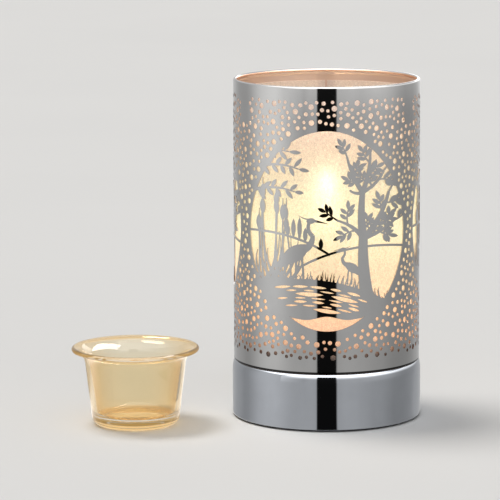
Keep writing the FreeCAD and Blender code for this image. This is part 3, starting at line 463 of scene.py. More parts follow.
def smooth(piece, degrees, weighted=True):
    pick(piece)
    bpy.ops.object.shade_smooth_by_angle(angle=math.radians(degrees))
    if weighted:
        modify(piece, "WEIGHTED_NORMAL", keep_sharp=True)


def joinAll(pieces, name):
    clearSelection()
    for piece in pieces:
        piece.select_set(True)
    bpy.context.view_layer.objects.active = pieces[0]
    bpy.ops.object.join()
    return settle(pieces[0], name)


def addPiece(name, data):
    piece = bpy.data.objects.new(name, data)
    scene.collection.objects.link(piece)
    return piece


# Takes a helper body away from a piece, or keeps only what both share
def carve(piece, tool, operation="DIFFERENCE"):
    modify(piece, "BOOLEAN", object=tool, operation=operation, solver="EXACT")
    bpy.data.objects.remove(tool)


# The spot at a distance from another, in a direction in degrees
def ahead(spot, degrees, distance):
    angle = math.radians(degrees)
    return spot[0] + distance * math.cos(angle), spot[1] + distance * math.sin(angle)


# Spots along an arc, in degrees
def arc(centre, radius, first, last, steps):
    return [ahead(centre, first + (last - first) * step / steps, radius) for step in range(steps + 1)]


# A line of edges through points, left in edit mode
def drawLine(name, spots):
    clearSelection()
    bpy.ops.mesh.primitive_plane_add(size=mm, location=spots[0])
    piece = settle(bpy.context.object, name)
    edit(piece)
    bpy.ops.mesh.merge(type="CENTER")
    for before, after in zip(spots, spots[1:]):
        bpy.ops.mesh.extrude_region_move(TRANSFORM_OT_translate={"value": after - before})
    bpy.ops.mesh.select_all(action="SELECT")
    bpy.ops.mesh.remove_doubles(threshold=sameSpot)
    return piece


def tidyFaces(piece):
    edit(piece)
    bpy.ops.mesh.remove_doubles(threshold=sameSpot)
    bpy.ops.mesh.normals_make_consistent(inside=False)
    bpy.ops.object.mode_set(mode="OBJECT")


# Turns an outline of (radius, height) millimetres about an upright or a front-to-back axis.
# An outline that starts and ends on the axis stays open there.
def turnOutline(name, outline, steps, origin=(0, 0, 0), axis="Z"):
    along = {"Z": Vector((0, 0, 1)), "Y": Vector((0, 1, 0))}[axis]
    centre = Vector(origin) * mm
    spots = [centre + (Vector((1, 0, 0)) * radius + along * height) * mm for radius, height in outline]
    if outline[0][0] > 0:
        spots.append(spots[0])
    piece = drawLine(name, spots)
    bpy.ops.mesh.spin(steps=steps, angle=math.tau, center=centre, axis=along)
    tidyFaces(piece)
    return piece


# Round wire along points
def bendWire(name, points, diameter):
    curve = bpy.data.curves.new(name, "CURVE")
    curve.dimensions = "3D"
    curve.bevel_depth = diameter / 2 * mm
    curve.bevel_resolution = 2
    curve.use_fill_caps = True
    spline = curve.splines.new("POLY")
    spline.points.add(len(points) - 1)
    for spot, point in zip(spline.points, points):
        spot.co = (*(Vector(point) * mm), 1)
    piece = addPiece(name, curve)
    pick(piece)
    bpy.ops.object.convert(target="MESH")
    smooth(piece, 50, weighted=False)
    return piece


# nodes that keep their CAD shape: name of the piece and width of its softened edges
softened = {
    "bulb_pinch": ("bulb_glass_pinch", 0.5), "bulb_pins": ("bulb_pin_loops", 0.18),
    "holder_bracket": ("holder_folded_bracket", 0.35), "lamp_holder": ("holder_ceramic_body", 0.5),
    "holder_contacts": ("holder_spring_contacts", 0.08), "dish_ring": ("dish_pressed_ring", 0.25),
}
softening = {"sharp": 35, "flat": 0.5}    # degrees


# A copy of a CAD node with its seams merged and its sharp edges softened
def soften(node):
    name, width = softened[node]
    piece = addPiece(name, frame["nodes"][node].data.copy())
    edit(piece)
    bpy.ops.mesh.remove_doubles(threshold=sameSpot)
    bpy.ops.mesh.dissolve_limited(angle_limit=math.radians(softening["flat"]))
    modify(piece, "BEVEL", width=width * mm, segments=2, limit_method="ANGLE",
           angle_limit=math.radians(softening["sharp"]), harden_normals=False)
    smooth(piece, softening["sharp"])
    piece.data.name = name
    dress(piece, node)


# Pictures in the windows, in millimetres from the middle of the oval. Every outline runs anticlockwise.
def anticlockwise(outline):
    following = outline[1:] + outline[:1]
    area = sum(x0 * y1 - x1 * y0 for (x0, y0), (x1, y1) in zip(outline, following))
    return outline if area > 0 else outline[::-1]


def oval(centre, reach, rise, sides, tilt=0.0):
    lean = math.radians(tilt)
    outline = []
    for side in range(sides):
        angle = math.tau * side / sides
        x, y = reach * math.cos(angle), rise * math.sin(angle)
        outline.append((centre[0] + x * math.cos(lean) - y * math.sin(lean),
                        centre[1] + x * math.sin(lean) + y * math.cos(lean)))
    return outline


# A spot on a bowed line, and the way the line runs there
def alongBow(start, finish, bow, share):
    across = (finish[0] - start[0], finish[1] - start[1])
    length = math.hypot(*across)
    side = (-across[1] / length, across[0] / length)
    arch, lean = 4 * bow * share * (1 - share), 4 * bow * (1 - 2 * share)
    spot = (start[0] + across[0] * share + side[0] * arch, start[1] + across[1] * share + side[1] * arch)
    return spot, (across[0] + side[0] * lean, across[1] + side[1] * lean)


# A bowed band with a half width at each end: boughs, stems, necks and blades of grass
def band(start, finish, bow, startWidth, finishWidth, steps=8):
    left, right = [], []
    for step in range(steps + 1):
        share = step / steps
        (x, y), run = alongBow(start, finish, bow, share)
        half = (startWidth * (1 - share) + finishWidth * share) / math.hypot(*run)
        left.append((x - run[1] * half, y + run[0] * half))
        right.append((x + run[1] * half, y - run[0] * half))
    return anticlockwise(left + right[::-1])


def leaf(stalk, degrees, length, width, steps=6, fullness=0.8):
    along = ahead((0, 0), degrees, 1)
    upper, lower = [], []
    for step in range(steps + 1):
        share = step / steps
        half = width / 2 * math.sin(math.pi * share) ** fullness
        x, y = stalk[0] + along[0] * length * share, stalk[1] + along[1] * length * share
        upper.append((x - along[1] * half, y + along[0] * half))
        lower.append((x + along[1] * half, y - along[0] * half))
    return anticlockwise(lower + upper[-2:0:-1])


def heading(start, finish):
    return math.degrees(math.atan2(finish[1] - start[1], finish[0] - start[0]))


# "beyond": how far from the middle a figure may reach to the sides
window = {"width": 81.0, "height": 108.3, "rise": 74.5, "count": 3, "sides": 120, "beyond": 42}
halfWide, halfTall = window["width"] / 2, window["height"] / 2
hill = {
    "drop": 24.0, "radius": 80.0, "shift": 12.0,
    "furrowSpacing": 8.0, "furrowStep": 18.75, "furrowMargin": 3.0,
    # quarters of the furrows' spacing: length and width of a slit, slits in a step, shift in steps
    "slits": ((15.0, 2.2, 1, 0.0), (7.0, 0.9, 2, 0.25), (8.0, 1.4, 2, 0.25), (7.0, 0.9, 2, 0.0)),
    "slitLength": (0.75, 1.15),
    "grass": {"blades": 70, "sway": 2.2, "height": (1.8, 5.6), "bow": 0.5, "half": (0.42, 0.06)},
    "seed": 5,
}
tree = {
    # joints as shares of the oval's half width and half height, as in the CAD sheet
    "places": {
        "root": (0.52, -0.62), "fork": (0.47, -0.05), "crown": (0.46, 0.4), "rightEnd": (0.8, 0.38),
        "leftEnd": (0.26, 0.74), "topEnd": (0.56, 0.78), "lowEnd": (0.14, 0.13),
        "sideEnd": (0.88, 0.1), "innerEnd": (0.3, 0.42), "shoulderEnd": (0.74, 0.6),
    },
    # from, to, bow, and the widths of both ends as shares of the trunk's
    "boughs": (
        ("root", "fork", 0.8, 1.0, 0.66), ("fork", "crown", 0.8, 0.66, 0.4),
        ("fork", "rightEnd", -2.0, 0.5, 0.2), ("crown", "leftEnd", 1.0, 0.4, 0.15),
        ("crown", "topEnd", -1.0, 0.4, 0.15), ("fork", "lowEnd", -1.5, 0.4, 0.15),
        ("fork", "sideEnd", -1.0, 0.35, 0.15), ("crown", "innerEnd", 1.0, 0.3, 0.15),
        ("crown", "shoulderEnd", -1.5, 0.3, 0.15),
    ),
    "bare": 2, "trunk": 3.5,
    "clear": (8.5, 12.0, 38.0),    # no twig ends left of this between these heights, in front of the bulb
    "twigStep": 4.6, "twigLength": (5.0, 9.5), "twigTurn": (38, 62), "twigHalf": (0.5, 0.32),
    # a twig's leaves: share of its length, and degrees from its direction
    "leaves": ((0.35, 50), (0.5, -50), (0.72, 46), (0.86, -44), (1.0, 4)),
    "leafLength": (4.2, 6.0), "leafWidth": 2.1,
    "rootLeaves": (-150, -120, -60, -32), "rootLeaf": (11, 3.2),
    "seed": 11,
}
reeds = {
    "left": -36.0, "right": -19.0, "count": 8, "height": (24.0, 47.0), "sway": 3, "head": (9.0, 2.8),
    "leafReach": (4, 9), "leafRise": (0.45, 0.8), "leafBow": (1.5, 3.2), "seed": 3,
}
ridges = (
    {"centre": (-34.0, -62.0), "radius": 62.0, "first": 55, "last": 97},
    {"centre": (24.0, -80.0), "radius": 73.0, "first": 76, "last": 122},
)
ridgeHalf = 0.6    # half the width of a ridge's line
poplars = ((-20.6, 7.0), (-17.6, 10.5), (-14.4, 12.5), (-11.4, 8.0), (-3.2, 6.5))    # place and height
overhang = {
    # start, finish and bow of each bough, its half width at the start
    "boughs": (
        ((-41, 20), (-17, 22), 2.6, 1.0), ((-38, 33), (-15, 34), 2.4, 0.9),
        ((-35, 41), (-20, 43), 1.2, 0.7),
    ),
    "leafTurn": (42, 66), "droop": 10, "leafLength": (4.8, 6.8), "leafWidth": 2.1, "step": 2.2, "seed": 8,
}
herons = ({"foot": (-14.5, -25.5), "size": 1.05, "way": 1}, {"foot": (12.0, -26.5), "size": 0.6, "way": -1})
stream = {"reach": 20.0, "bank": -45.0, "rise": 1.2, "margin": 2.4}


def hillTop(x):
    return -hill["drop"] - hill["radius"] + math.sqrt(hill["radius"] ** 2 - (x + hill["shift"]) ** 2)


def drawHill():
    draw = random.Random(hill["seed"])
    edge, floor, grass = window["beyond"], -halfTall - 1, hill["grass"]
    ridge = [(x / 2, hillTop(x / 2)) for x in range(-2 * edge, 2 * edge + 1)]
    yield anticlockwise([(-edge, floor), (edge, floor)] + ridge[::-1])
    for number in range(grass["blades"]):
        x = -halfWide + window["width"] * (number + draw.random()) / grass["blades"]
        tip = (x + draw.uniform(-grass["sway"], grass["sway"]), hillTop(x) + draw.uniform(*grass["height"]))
        bow = draw.uniform(-grass["bow"], grass["bow"])
        yield band((x, hillTop(x) - 0.8), tip, bow, *grass["half"], steps=3)


def drawTree():
    draw = random.Random(tree["seed"])
    spots = {name: (x * halfWide, y * halfTall) for name, (x, y) in tree["places"].items()}
    nearest, lowest, highest = tree["clear"]
    for number, (low, high, bow, lowShare, highShare) in enumerate(tree["boughs"]):
        start, finish, end = spots[low], spots[high], tree["trunk"] * highShare
        yield band(start, finish, bow, tree["trunk"] * lowShare, end)
        yield oval(finish, end, end, 10)
        if number < tree["bare"]:
            continue
        way = heading(start, finish)
        twigs = int(math.dist(start, finish) / tree["twigStep"])
        for twig in range(1, twigs + 1):
            root, _ = alongBow(start, finish, bow, twig / twigs)
            side = 1 if twig % 2 else -1
            turn = 0 if twig == twigs else side * draw.uniform(*tree["twigTurn"])
            reach = draw.uniform(*tree["twigLength"]) * (0.7 + 0.3 * twig / twigs)
            tip = ahead(root, way + turn, reach)
            lean = draw.uniform(-0.6, 0.6)
            if tip[0] < nearest and lowest < tip[1] < highest:
                continue
            yield band(root, tip, lean, *tree["twigHalf"], steps=4)
            for share, spread in tree["leaves"]:
                stalk, _ = alongBow(root, tip, lean, share)
                length = draw.uniform(*tree["leafLength"])
                yield leaf(stalk, way + turn + spread + draw.uniform(-10, 10), length, tree["leafWidth"])
    for spread in tree["rootLeaves"]:
        yield leaf(spots["root"], spread, *tree["rootLeaf"])


def drawReeds():
    draw = random.Random(reeds["seed"])
    length, width = reeds["head"]
    for number in range(reeds["count"]):
        x = reeds["left"] + (reeds["right"] - reeds["left"]) * number / (reeds["count"] - 1)
        root = (x, hillTop(x) - 1)
        tall = draw.uniform(*reeds["height"]) * (1 - 0.25 * number / reeds["count"])
        tip, top = x + draw.uniform(-reeds["sway"], reeds["sway"]), root[1] + tall
        yield band(root, (tip, top), draw.uniform(-1.2, 1.2), 0.5, 0.35)
        yield leaf((tip, top - 1), 90 + draw.uniform(-6, 6), length, width, steps=8)
        yield band((tip, top + length - 2.5), (tip, top + length + 2.0), 0, 0.3, 0.08, steps=2)
        for side in (-1, 1):
            reach, rise = draw.uniform(*reeds["leafReach"]), draw.uniform(*reeds["leafRise"])
            end = (x + side * reach, root[1] + tall * rise)
            yield band(root, end, -side * draw.uniform(*reeds["leafBow"]), 0.9, 0.07)


def drawRidges():
    for ridge in ridges:
        outer, inner = (
            arc(ridge["centre"], ridge["radius"] + half, ridge["first"], ridge["last"], 30)
            for half in (ridgeHalf, -ridgeHalf)
        )
        yield anticlockwise(outer + inner[::-1])
    far = ridges[0]
    for x, tall in poplars:
        foot = far["centre"][1] + math.sqrt(far["radius"] ** 2 - (x - far["centre"][0]) ** 2)
        yield leaf((x, foot - 0.4), 90, tall, 2.4)


def drawOverhang():
    draw = random.Random(overhang["seed"])
    for start, finish, bow, half in overhang["boughs"]:
        yield band(start, finish, bow, half, 0.3)
        way = heading(start, finish)
        leaves = int(math.dist(start, finish) / overhang["step"])
        for number in range(2, leaves + 1):
            stalk, _ = alongBow(start, finish, bow, number / leaves)
            side = 1 if number % 2 else -1
            turn = side * draw.uniform(*overhang["leafTurn"]) - overhang["droop"] if number < leaves else -12
            yield leaf(stalk, way + turn, draw.uniform(*overhang["leafLength"]), overhang["leafWidth"])


def drawHeron(foot, size, way):
    strokes = (
        band((-1.6, -0.8), (-1.4, 13), 0.2, 0.5, 0.6), band((1.8, -0.8), (0.8, 13), -0.5, 0.5, 0.6),
        band((-1.6, 0.3), (1.2, -0.3), 0, 0.4, 0.1, 3), band((1.8, 0.3), (4.6, -0.3), 0, 0.4, 0.1, 3),
        leaf((-9.5, 9.0), 34, 17.5, 8.0, 10),
        leaf((-12.5, 8.2), 14, 11, 3.0), leaf((-11.5, 6.4), 30, 11, 3.0),
        band((2.6, 16.6), (6.6, 23.6), -1.3, 2.0, 1.05), band((6.6, 23.2), (5.0, 30.2), 1.3, 1.1, 0.85),
        oval((5.7, 30.8), 2.2, 1.45, 14, 8), band((7.0, 31.0), (14.0, 29.6), 0, 0.75, 0.08, 3),
        band((5.2, 31.6), (-0.4, 33.4), 0.5, 0.42, 0.08, 4),
    )
    for stroke in strokes:
        yield anticlockwise([(foot[0] + way * size * x, foot[1] + size * y) for x, y in stroke])


# The bright crescent at the foot of the oval
def drawStream():
    wide, tall, reach = halfWide - stream["margin"], halfTall - stream["margin"], stream["reach"]
    foot, bank = [], []
    for step in range(25):
        x = reach * (step / 12 - 1)
        foot.append((x, -tall * math.sqrt(1 - (x / wide) ** 2)))
        bank.append((x, stream["bank"] + stream["rise"] * math.cos(x / 4) * (1 - (x / reach) ** 2)))
    return anticlockwise(foot + bank[-2:0:-1])


# Lens-shaped slits in bowed rows, with finer rows between each two
def drawFurrows():
    draw = random.Random(hill["seed"])
    spacing = hill["furrowSpacing"] / 4
    rows = int((-stream["bank"] - hill["drop"] - 2) / spacing)
    wide, tall = halfWide - hill["furrowMargin"], halfTall - hill["furrowMargin"]
    for row in range(2, rows):
        length, width, share, shift = hill["slits"][row % 4]
        pitch = hill["furrowStep"] / share
        shift = (shift + 0.5 * (row // 4 % 2)) * hill["furrowStep"]
        for step in range(-6, 7):
            x = step * pitch + shift
            y = -hill["drop"] - row * spacing - (x + hill["shift"]) ** 2 / (2 * hill["radius"])
            run = length if share == 1 else length * draw.uniform(*hill["slitLength"])
            if ((abs(x) + run / 2) / wide) ** 2 + (y / tall) ** 2 < 1:
                slope = -math.degrees((x + hill["shift"]) / hill["radius"])
                yield leaf(ahead((x, y), slope, -run / 2), slope, run, width, 10)


# Outlines of the window by kind. A figure that would reach too far past the oval is left out.
def drawWindow():
    drawn = [*drawHill(), *drawTree(), *drawReeds(), *drawRidges(), *drawOverhang()]
    for heron in herons:
        drawn.extend(drawHeron(**heron))
    return {
        "oval": [oval((0, 0), halfWide, halfTall, window["sides"])],
        "figure": [outline for outline in drawn if max(abs(x) for x, _ in outline) < window["beyond"] + 0.5],
        "slit": [*drawFurrows(), drawStream()],
    }


dots = {
    # radius, tries and sides of each size
    "sizes": {"large": (1.48, 9000, 16), "middle": (1.12, 3200, 12), "small": (0.92, 70000, 12)},
    "largeApart": 7.4, "bridge": 1.0,    # least distance between large ones, least metal between two
    "bandTop": 7.8, "bandBottom": 8.2, "backDrop": 1.2,
    "windowMargin": 1.7, "seamMargin": 4.5, "tabMargin": 5.0,
    "seed": 21, "cell": 5.0,
}
shade = {
    "sheet": 0.6, "columnDegrees": 2.5, "hemDepth": 3.0, "hemThickness": 1.8,
    "seamGap": 0.12, "weldStep": 20.0, "weld": 2.5,
}
# Frosted film rolled inside the shade: its ends meet at the back, slots let the tabs of the ring through
liner = {"sheet": 0.6, "split": 1.2, "slotWidth": 9.2, "slotLow": 162.14, "slotHigh": 171.34}
shadeLow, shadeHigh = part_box("shade_sheet")
shadeRadius = (shadeHigh.x - shadeLow.x) / 2 / mm
shadeBottom, shadeTop = shadeLow.z / mm, shadeHigh.z / mm
windowMiddle = shadeBottom + window["rise"]


# Half the width of a window at a height, measured round the shade
def windowReach(height, margin):
    up = (height - windowMiddle) / (halfTall + margin)
    if abs(up) >= 1:
        return -1
    return shadeRadius * math.asin(halfWide * math.sqrt(1 - up * up) / shadeRadius) + margin


# Distance and radius of the dots that lie in the cells round a spot
def dotsNear(cells, column, row, spot):
    around = (-2, -1, 0, 1, 2)
    near = [dot for i in around for j in around for dot in cells.get((column + i, row + j), ())]
    return [(math.dist(spot, (x, y)), radius) for x, y, radius in near]


# Holes thrown like darts: large ones first, then smaller ones wherever enough metal is left
def throwDots():
    draw = random.Random(dots["seed"])
    girth = math.tau * shadeRadius
    sector = girth / window["count"]
    low, high = shadeBottom + dots["bandBottom"], shadeTop - dots["bandTop"]
    cells, thrown = {}, []
    for size, (radius, tries, sides) in dots["sizes"].items():
        for _ in range(tries):
            across, height = draw.uniform(0, girth), draw.uniform(low, high)
            fromSeam = min(across, girth - across)
            if fromSeam < dots["seamMargin"] or (fromSeam < girth / 4 and height > high - dots["backDrop"]):
                continue
            fromTab = abs((across + sector / 2) % sector - sector / 2)
            if fromTab < dots["tabMargin"] and height > liner["slotLow"] - radius:
                continue
            fromWindow = abs((across - girth / 2 + sector / 2) % sector - sector / 2)
            if fromWindow < windowReach(height, dots["windowMargin"] + radius):
                continue
            column, row = int(across / dots["cell"]), int(height / dots["cell"])
            near = dotsNear(cells, column, row, (across, height))
            if any(distance < other + radius + dots["bridge"] for distance, other in near):
                continue
            if size == "large" and any(distance < dots["largeApart"] for distance, _ in near):
                continue
            cells.setdefault((column, row), []).append((across, height, radius))
            thrown.append(oval((across, height), radius, radius, sides))
    return thrown


def block(left, right, low, high):
    return [(left, low), (right, low), (right, high), (left, high)]


# A sheet cut flat and rolled up: outlines in millimetres round the roll and up, each with its kind
def rollSheet(name, radius, low, high, outlines, keep, thickness):
    girth = math.tau * radius
    columns = round(360 / shade["columnDegrees"])
    points, loops, kinds = [], [], []

    def addLoop(outline, kind):
        loops.append(tuple(range(len(points), len(points) + len(outline))))
        points.extend(Vector(point) for point in outline)
        kinds.append(kind)

    for column in range(columns):
        left, right = girth * column / columns, girth * (column + 1) / columns
        addLoop(block(left, right, low, high), "sheet")
    for outline, kind in outlines:
        addLoop(outline, kind)
    flat, _, faces, _, _, sources = delaunay_2d_cdt(points, [], loops, 1, 1e-5)
    kept = [face for face, source in zip(faces, sources) if keep({kinds[index] for index in source})]
    rolled = []
    for point in flat:
        angle = point.x / radius - math.pi
        rolled.append((radius * mm * math.sin(angle), -radius * mm * math.cos(angle), point.y * mm))
    mesh = bpy.data.meshes.new(name)
    mesh.from_pydata(rolled, [], kept)
    piece = addPiece(name, mesh)
    edit(piece)
    bpy.ops.mesh.delete_loose()
    bpy.ops.mesh.select_all(action="SELECT")
    bpy.ops.mesh.remove_doubles(threshold=sameSpot)
    modify(piece, "SOLIDIFY", thickness=thickness * mm, offset=-1)
    roundNormals(piece)
    return piece


# The walls of a rolled sheet shade as a true cylinder, its cut edges stay crisp
def roundNormals(piece):
    mesh = piece.data
    mesh.polygons.foreach_set("use_smooth", [True] * len(mesh.polygons))
    normals = []
    for polygon in mesh.polygons:
        for vertex in polygon.vertices:
            place = mesh.vertices[vertex].co
            outward = Vector((place.x, place.y, 0)).normalized()
            facing = polygon.normal.dot(outward)
            onWall = abs(facing) > 0.9
            normals.append(outward * math.copysign(1, facing) if onWall else polygon.normal.copy())
    mesh.normals_split_custom_set(normals)


# An outline of the flat picture laid round the sheet, about the middle of a window
def onSheet(outline, middle):
    return [(middle + shadeRadius * math.asin(x / shadeRadius), windowMiddle + y) for x, y in outline]


def staysMetal(kinds):
    if "sheet" not in kinds or "dot" in kinds:
        return False
    return "oval" not in kinds or ("figure" in kinds and "slit" not in kinds)


def makeShade():
    girth = math.tau * shadeRadius
    picture = drawWindow()
    outlines = []
    for index in range(window["count"]):
        middle = girth * (index + 0.5) / window["count"]
        for kind, shapes in picture.items():
            outlines.extend((onSheet(shape, middle), kind) for shape in shapes)
    thrown = throwDots()
    outlines.extend((dot, "dot") for dot in thrown)

    # the sheet's ends meet at the back, with a weld at every step
    for step in range(int((shadeTop - shadeBottom) / shade["weldStep"])):
        low = shadeBottom + shade["weld"] + step * shade["weldStep"]
        for left, right in ((0, shade["seamGap"]), (girth - shade["seamGap"], girth)):
            outlines.append((block(left, right, low, low + shade["weldStep"] - shade["weld"]), "dot"))

    top, thick = shadeTop - shade["hemDepth"], shade["sheet"]
    sheet = rollSheet("shade_pierced_sheet", shadeRadius, shadeBottom, top, outlines, staysMetal, thick)
    dress(sheet, "shade_sheet")
    print("shade:", len(thrown), "dots,", len(sheet.data.polygons), "faces")

    roll = shade["hemThickness"] / 2
    lip = shadeRadius - 2 * roll
    hem = turnOutline("shade_hem", [
        (shadeRadius - thick, top), (shadeRadius, top), (shadeRadius, shadeTop - 1.2),
        *arc((shadeRadius - roll, shadeTop - roll), roll, 0, 180, 12),
        (lip, top + 0.7), *arc((lip + 0.5, top + 0.5), 0.5, 180, 300, 5),
    ], 160)
    smooth(hem, 50)
    trim(hem, "shade_sheet")


makeShade()


def makeLiner():
    low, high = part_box("diffuser_liner")
    radius, bottom, top = (high.x - low.x) / 2 / mm, low.z / mm, high.z / mm
    girth, gap, half = math.tau * radius, liner["split"] / 2, liner["slotWidth"] / 2
    whole, slot = (bottom - 1, top + 1), (liner["slotLow"], liner["slotHigh"])
    cuts = [block(0, gap, *whole), block(girth - gap, girth, *whole)]
    cuts += [block(0, half, *slot), block(girth - half, girth, *slot)]
    cuts += [block(middle - half, middle + half, *slot) for middle in (girth / 3, girth * 2 / 3)]
    sheet = rollSheet("liner_frosted_film", radius, bottom, top, [(cut, "cut") for cut in cuts],
                      lambda kinds: "sheet" in kinds and "cut" not in kinds, liner["sheet"])
    dress(sheet, "diffuser_liner")


makeLiner()
print("liner made")

# A piece's sizes are unpacked in the order of its dictionary
base = {
    "radius": 50.8, "wall": 1.0, "foot": 1.0, "height": 32.0, "shoulder": 4.0, "hole": 5.2,
    # the shoulder starts as a wide, slight bend
    "easeRadius": 18.0, "easeDegrees": 12,
}
gland = {
    "bore": 3.1, "neck": 4.9, "flange": 6.5, "inside": -7.0, "outside": 2.0, "edge": 0.7, "height": 14.0,
}
footRing = {"inner": 39.8, "outer": 46.8, "top": 3.0, "edge": 0.5}
tray = {"radius": 48.0, "wall": 0.8, "low": 32.0, "high": 46.0, "corner": 2.0, "hole": 5.2}


def makeShell():
    radius, wall, foot, height, shoulder, hole, easeRadius, easeDegrees = base.values()
    inner, bend = radius - wall, (radius - shoulder, height - shoulder)
    slight, apart = math.radians(easeDegrees), easeRadius - shoulder
    ease = (radius - easeRadius, bend[1] - apart * math.sin(slight))
    turn = (ease[0] + apart * math.cos(slight), bend[1])
    shell = turnOutline("base_spun_shell", [
        (inner + 0.25, foot), (radius - 0.25, foot), (radius, foot + 0.25), (radius, 2.2),
        (radius, ease[1] - 0.8), *arc(ease, easeRadius, 0, easeDegrees, 5),
        *arc(turn, shoulder, easeDegrees, 90, 12)[1:], (turn[0] - 0.8, height), (hole, height),
        (hole, height - wall), *arc(bend, shoulder - wall, 90, 0, 8), (inner, foot + 0.25),
    ], 160)
    bpy.ops.mesh.primitive_cylinder_add(
        vertices=48, radius=(gland["neck"] + 0.1) * mm, depth=8 * mm, rotation=(math.pi / 2, 0, 0),
        location=(0, radius * mm, gland["height"] * mm))
    carve(shell, settle(bpy.context.object, "gland_drill"))
    smooth(shell, 50)
    dress(shell, "base_shell")


def makeFootRing():
    inner, outer, top, edge = footRing.values()
    ring = turnOutline("foot_moulded_ring", [
        (inner, top), (inner, edge), *arc((inner + 0.6, edge), edge, 200, 270, 3),
        *arc((outer - edge, edge), edge, 270, 360, 4), (outer, top),
    ], 128)
    smooth(ring, 40)
    dress(ring, "foot_ring")


def makeTray():
    radius, wall, low, high, corner, hole = tray.values()
    bend, lip = (radius - corner, low + corner), wall / 2
    drawn = turnOutline("shade_drawn_tray", [
        (hole, low), (bend[0] - 0.6, low), *arc(bend, corner, 270, 360, 6), (radius, high - 0.6),
        *arc((radius - lip, high - lip), lip, 0, 180, 6), (radius - wall, bend[1] + 0.4),
        *arc(bend, corner - wall, 0, -90, 6), (hole, low + wall),
    ], 160)
    smooth(drawn, 40)
    dress(drawn, "shade_collar")


def makeGland():
    bore, neck, flange, inside, outside, edge, height = gland.values()
    moulded = turnOutline("cord_moulded_gland", [
        (bore, inside), (neck - 0.3, inside), (neck, inside + 0.3), (neck, 0), (flange, 0),
        (flange, outside - edge), *arc((flange - edge, outside - edge), edge, 0, 90, 5),
        (bore + 0.8, outside), *arc((bore + 0.8, outside - 0.8), 0.8, 90, 180, 5),
    ], 64, (0, base["radius"], height), "Y")
    smooth(moulded, 40)
    dress(moulded, "cord_gland")


makeShell()
makeFootRing()
makeTray()
makeGland()
print("base made")

dish = {
    "place": (-102.0, -28.0, 0.0), "foot": 23.5, "neck": 26.75, "rim": 34.0, "height": 42.0,
    "flareStart": 32.5, "wall": 2.4, "floor": 4.5, "corner": 4.5,
}


def makeDish():
    place, foot, neck, rim, height, rise, wall, floor, corner = dish.values()
    bead = wall / 2
    lip = (rim - bead, height - bead)
    outX, outZ = lip[0] - neck, lip[1] - bead - rise
    flare = (outX ** 2 + outZ ** 2) / (2 * outX)
    bend = (neck + flare, rise)
    under = heading(bend, (lip[0], rise + outZ))
    over = heading(bend, (lip[0], rise + outZ + wall))
    glass = turnOutline("dish_pressed_glass", [
        (0, 0.7), (16.5, 0.7), (17.4, 0.4), (18.2, 0), *arc((foot - corner, corner), corner, -90, 0, 12),
        *arc(bend, flare, 180, under, 14),
        *arc(lip, bead, -80, 80, 12), *arc(bend, flare + wall, over, 180, 14),
        *arc((foot - wall - corner, corner + floor), corner, 0, -90, 12),
        (14.6, floor + 0.1), (13.8, floor + 0.5), (0, floor + 0.6),
    ], 160, place)
    smooth(glass, 60, weighted=False)
    dress(glass, "glass_dish")


makeDish()
print("dish made")

bulb = {"radius": 7.0, "glass": 1.0, "low": 104.0, "high": 134.0, "foot": 3.0}
coil = {
    "low": 121.4, "high": 131.9, "turns": 14, "sides": 16, "radius": 0.73, "wire": 0.34, "reach": 2.5,
    "support": 0.6,
}


def makeBulb():
    radius, wall, low, high, foot = bulb.values()
    dome, corner = (0, high - radius), (radius - foot, low + foot)
    tip = math.degrees(math.acos(1.0 / radius))
    glass = turnOutline("bulb_capsule_glass", [
        (0, low), *arc(corner, foot, -90, 0, 8), *arc(dome, radius, 0, tip, 16),
        (0.62, high + 0.15), (0.3, high + 0.55), (0, high + 0.65),
    ], 64)
    cavity = turnOutline("bulb_capsule_inside", [
        (0, low + wall), *arc(corner, foot - wall, -90, 0, 8),
        *arc(dome, radius - wall, 0, 90, 16)[:-1], (0, high - wall),
    ], 64)
    edit(cavity)
    bpy.ops.mesh.flip_normals()
    glass = joinAll([glass, cavity], "bulb_capsule_glass")
    smooth(glass, 60, weighted=False)
    dress(glass, "bulb_glass")

    start, end, turns, sides, wide, wire, reach, support = coil.values()
    winding = []
    for step in range(turns * sides + 1):
        turn = math.tau * step / sides
        height = start + (end - start) * turn / (turns * math.tau)
        winding.append((wide * math.cos(turn), wide * math.sin(turn), height))
    foot = low + 1.0
    lines = {
        "filament_coil": (winding, wire),
        "filament_foot": (((wide, 0, start), (0.3, 0, start - 0.5), (-reach, 0, start + 0.1)), wire),
        "filament_head": (((wide, 0, end), (0.85, 0, end + 0.15), (reach, 0, end - 0.3)), wire),
        "support_left": (((-reach, 0, foot), (-reach, 0, start + 0.5)), support),
        "support_right": (((reach, 0, foot), (reach, 0, end + 0.1)), support),
    }
    wires = [bendWire(name, points, diameter) for name, (points, diameter) in lines.items()]
    dress(joinAll(wires, "filament_wires"), "filament")
    soften("bulb_pinch")
    soften("bulb_pins")


makeBulb()
print("bulb made")

post = {"radius": 5.0, "bore": 3.5, "low": 25.5, "high": 81.5, "pitch": 1.0, "depth": 0.55}
nut = {
    "flats": 14.0, "height": 3.0, "chamfer": 0.9, "heights": (28.0, 32.8, 74.0, 78.0),
    "turn": 7, "turnEach": 19,    # degrees
}


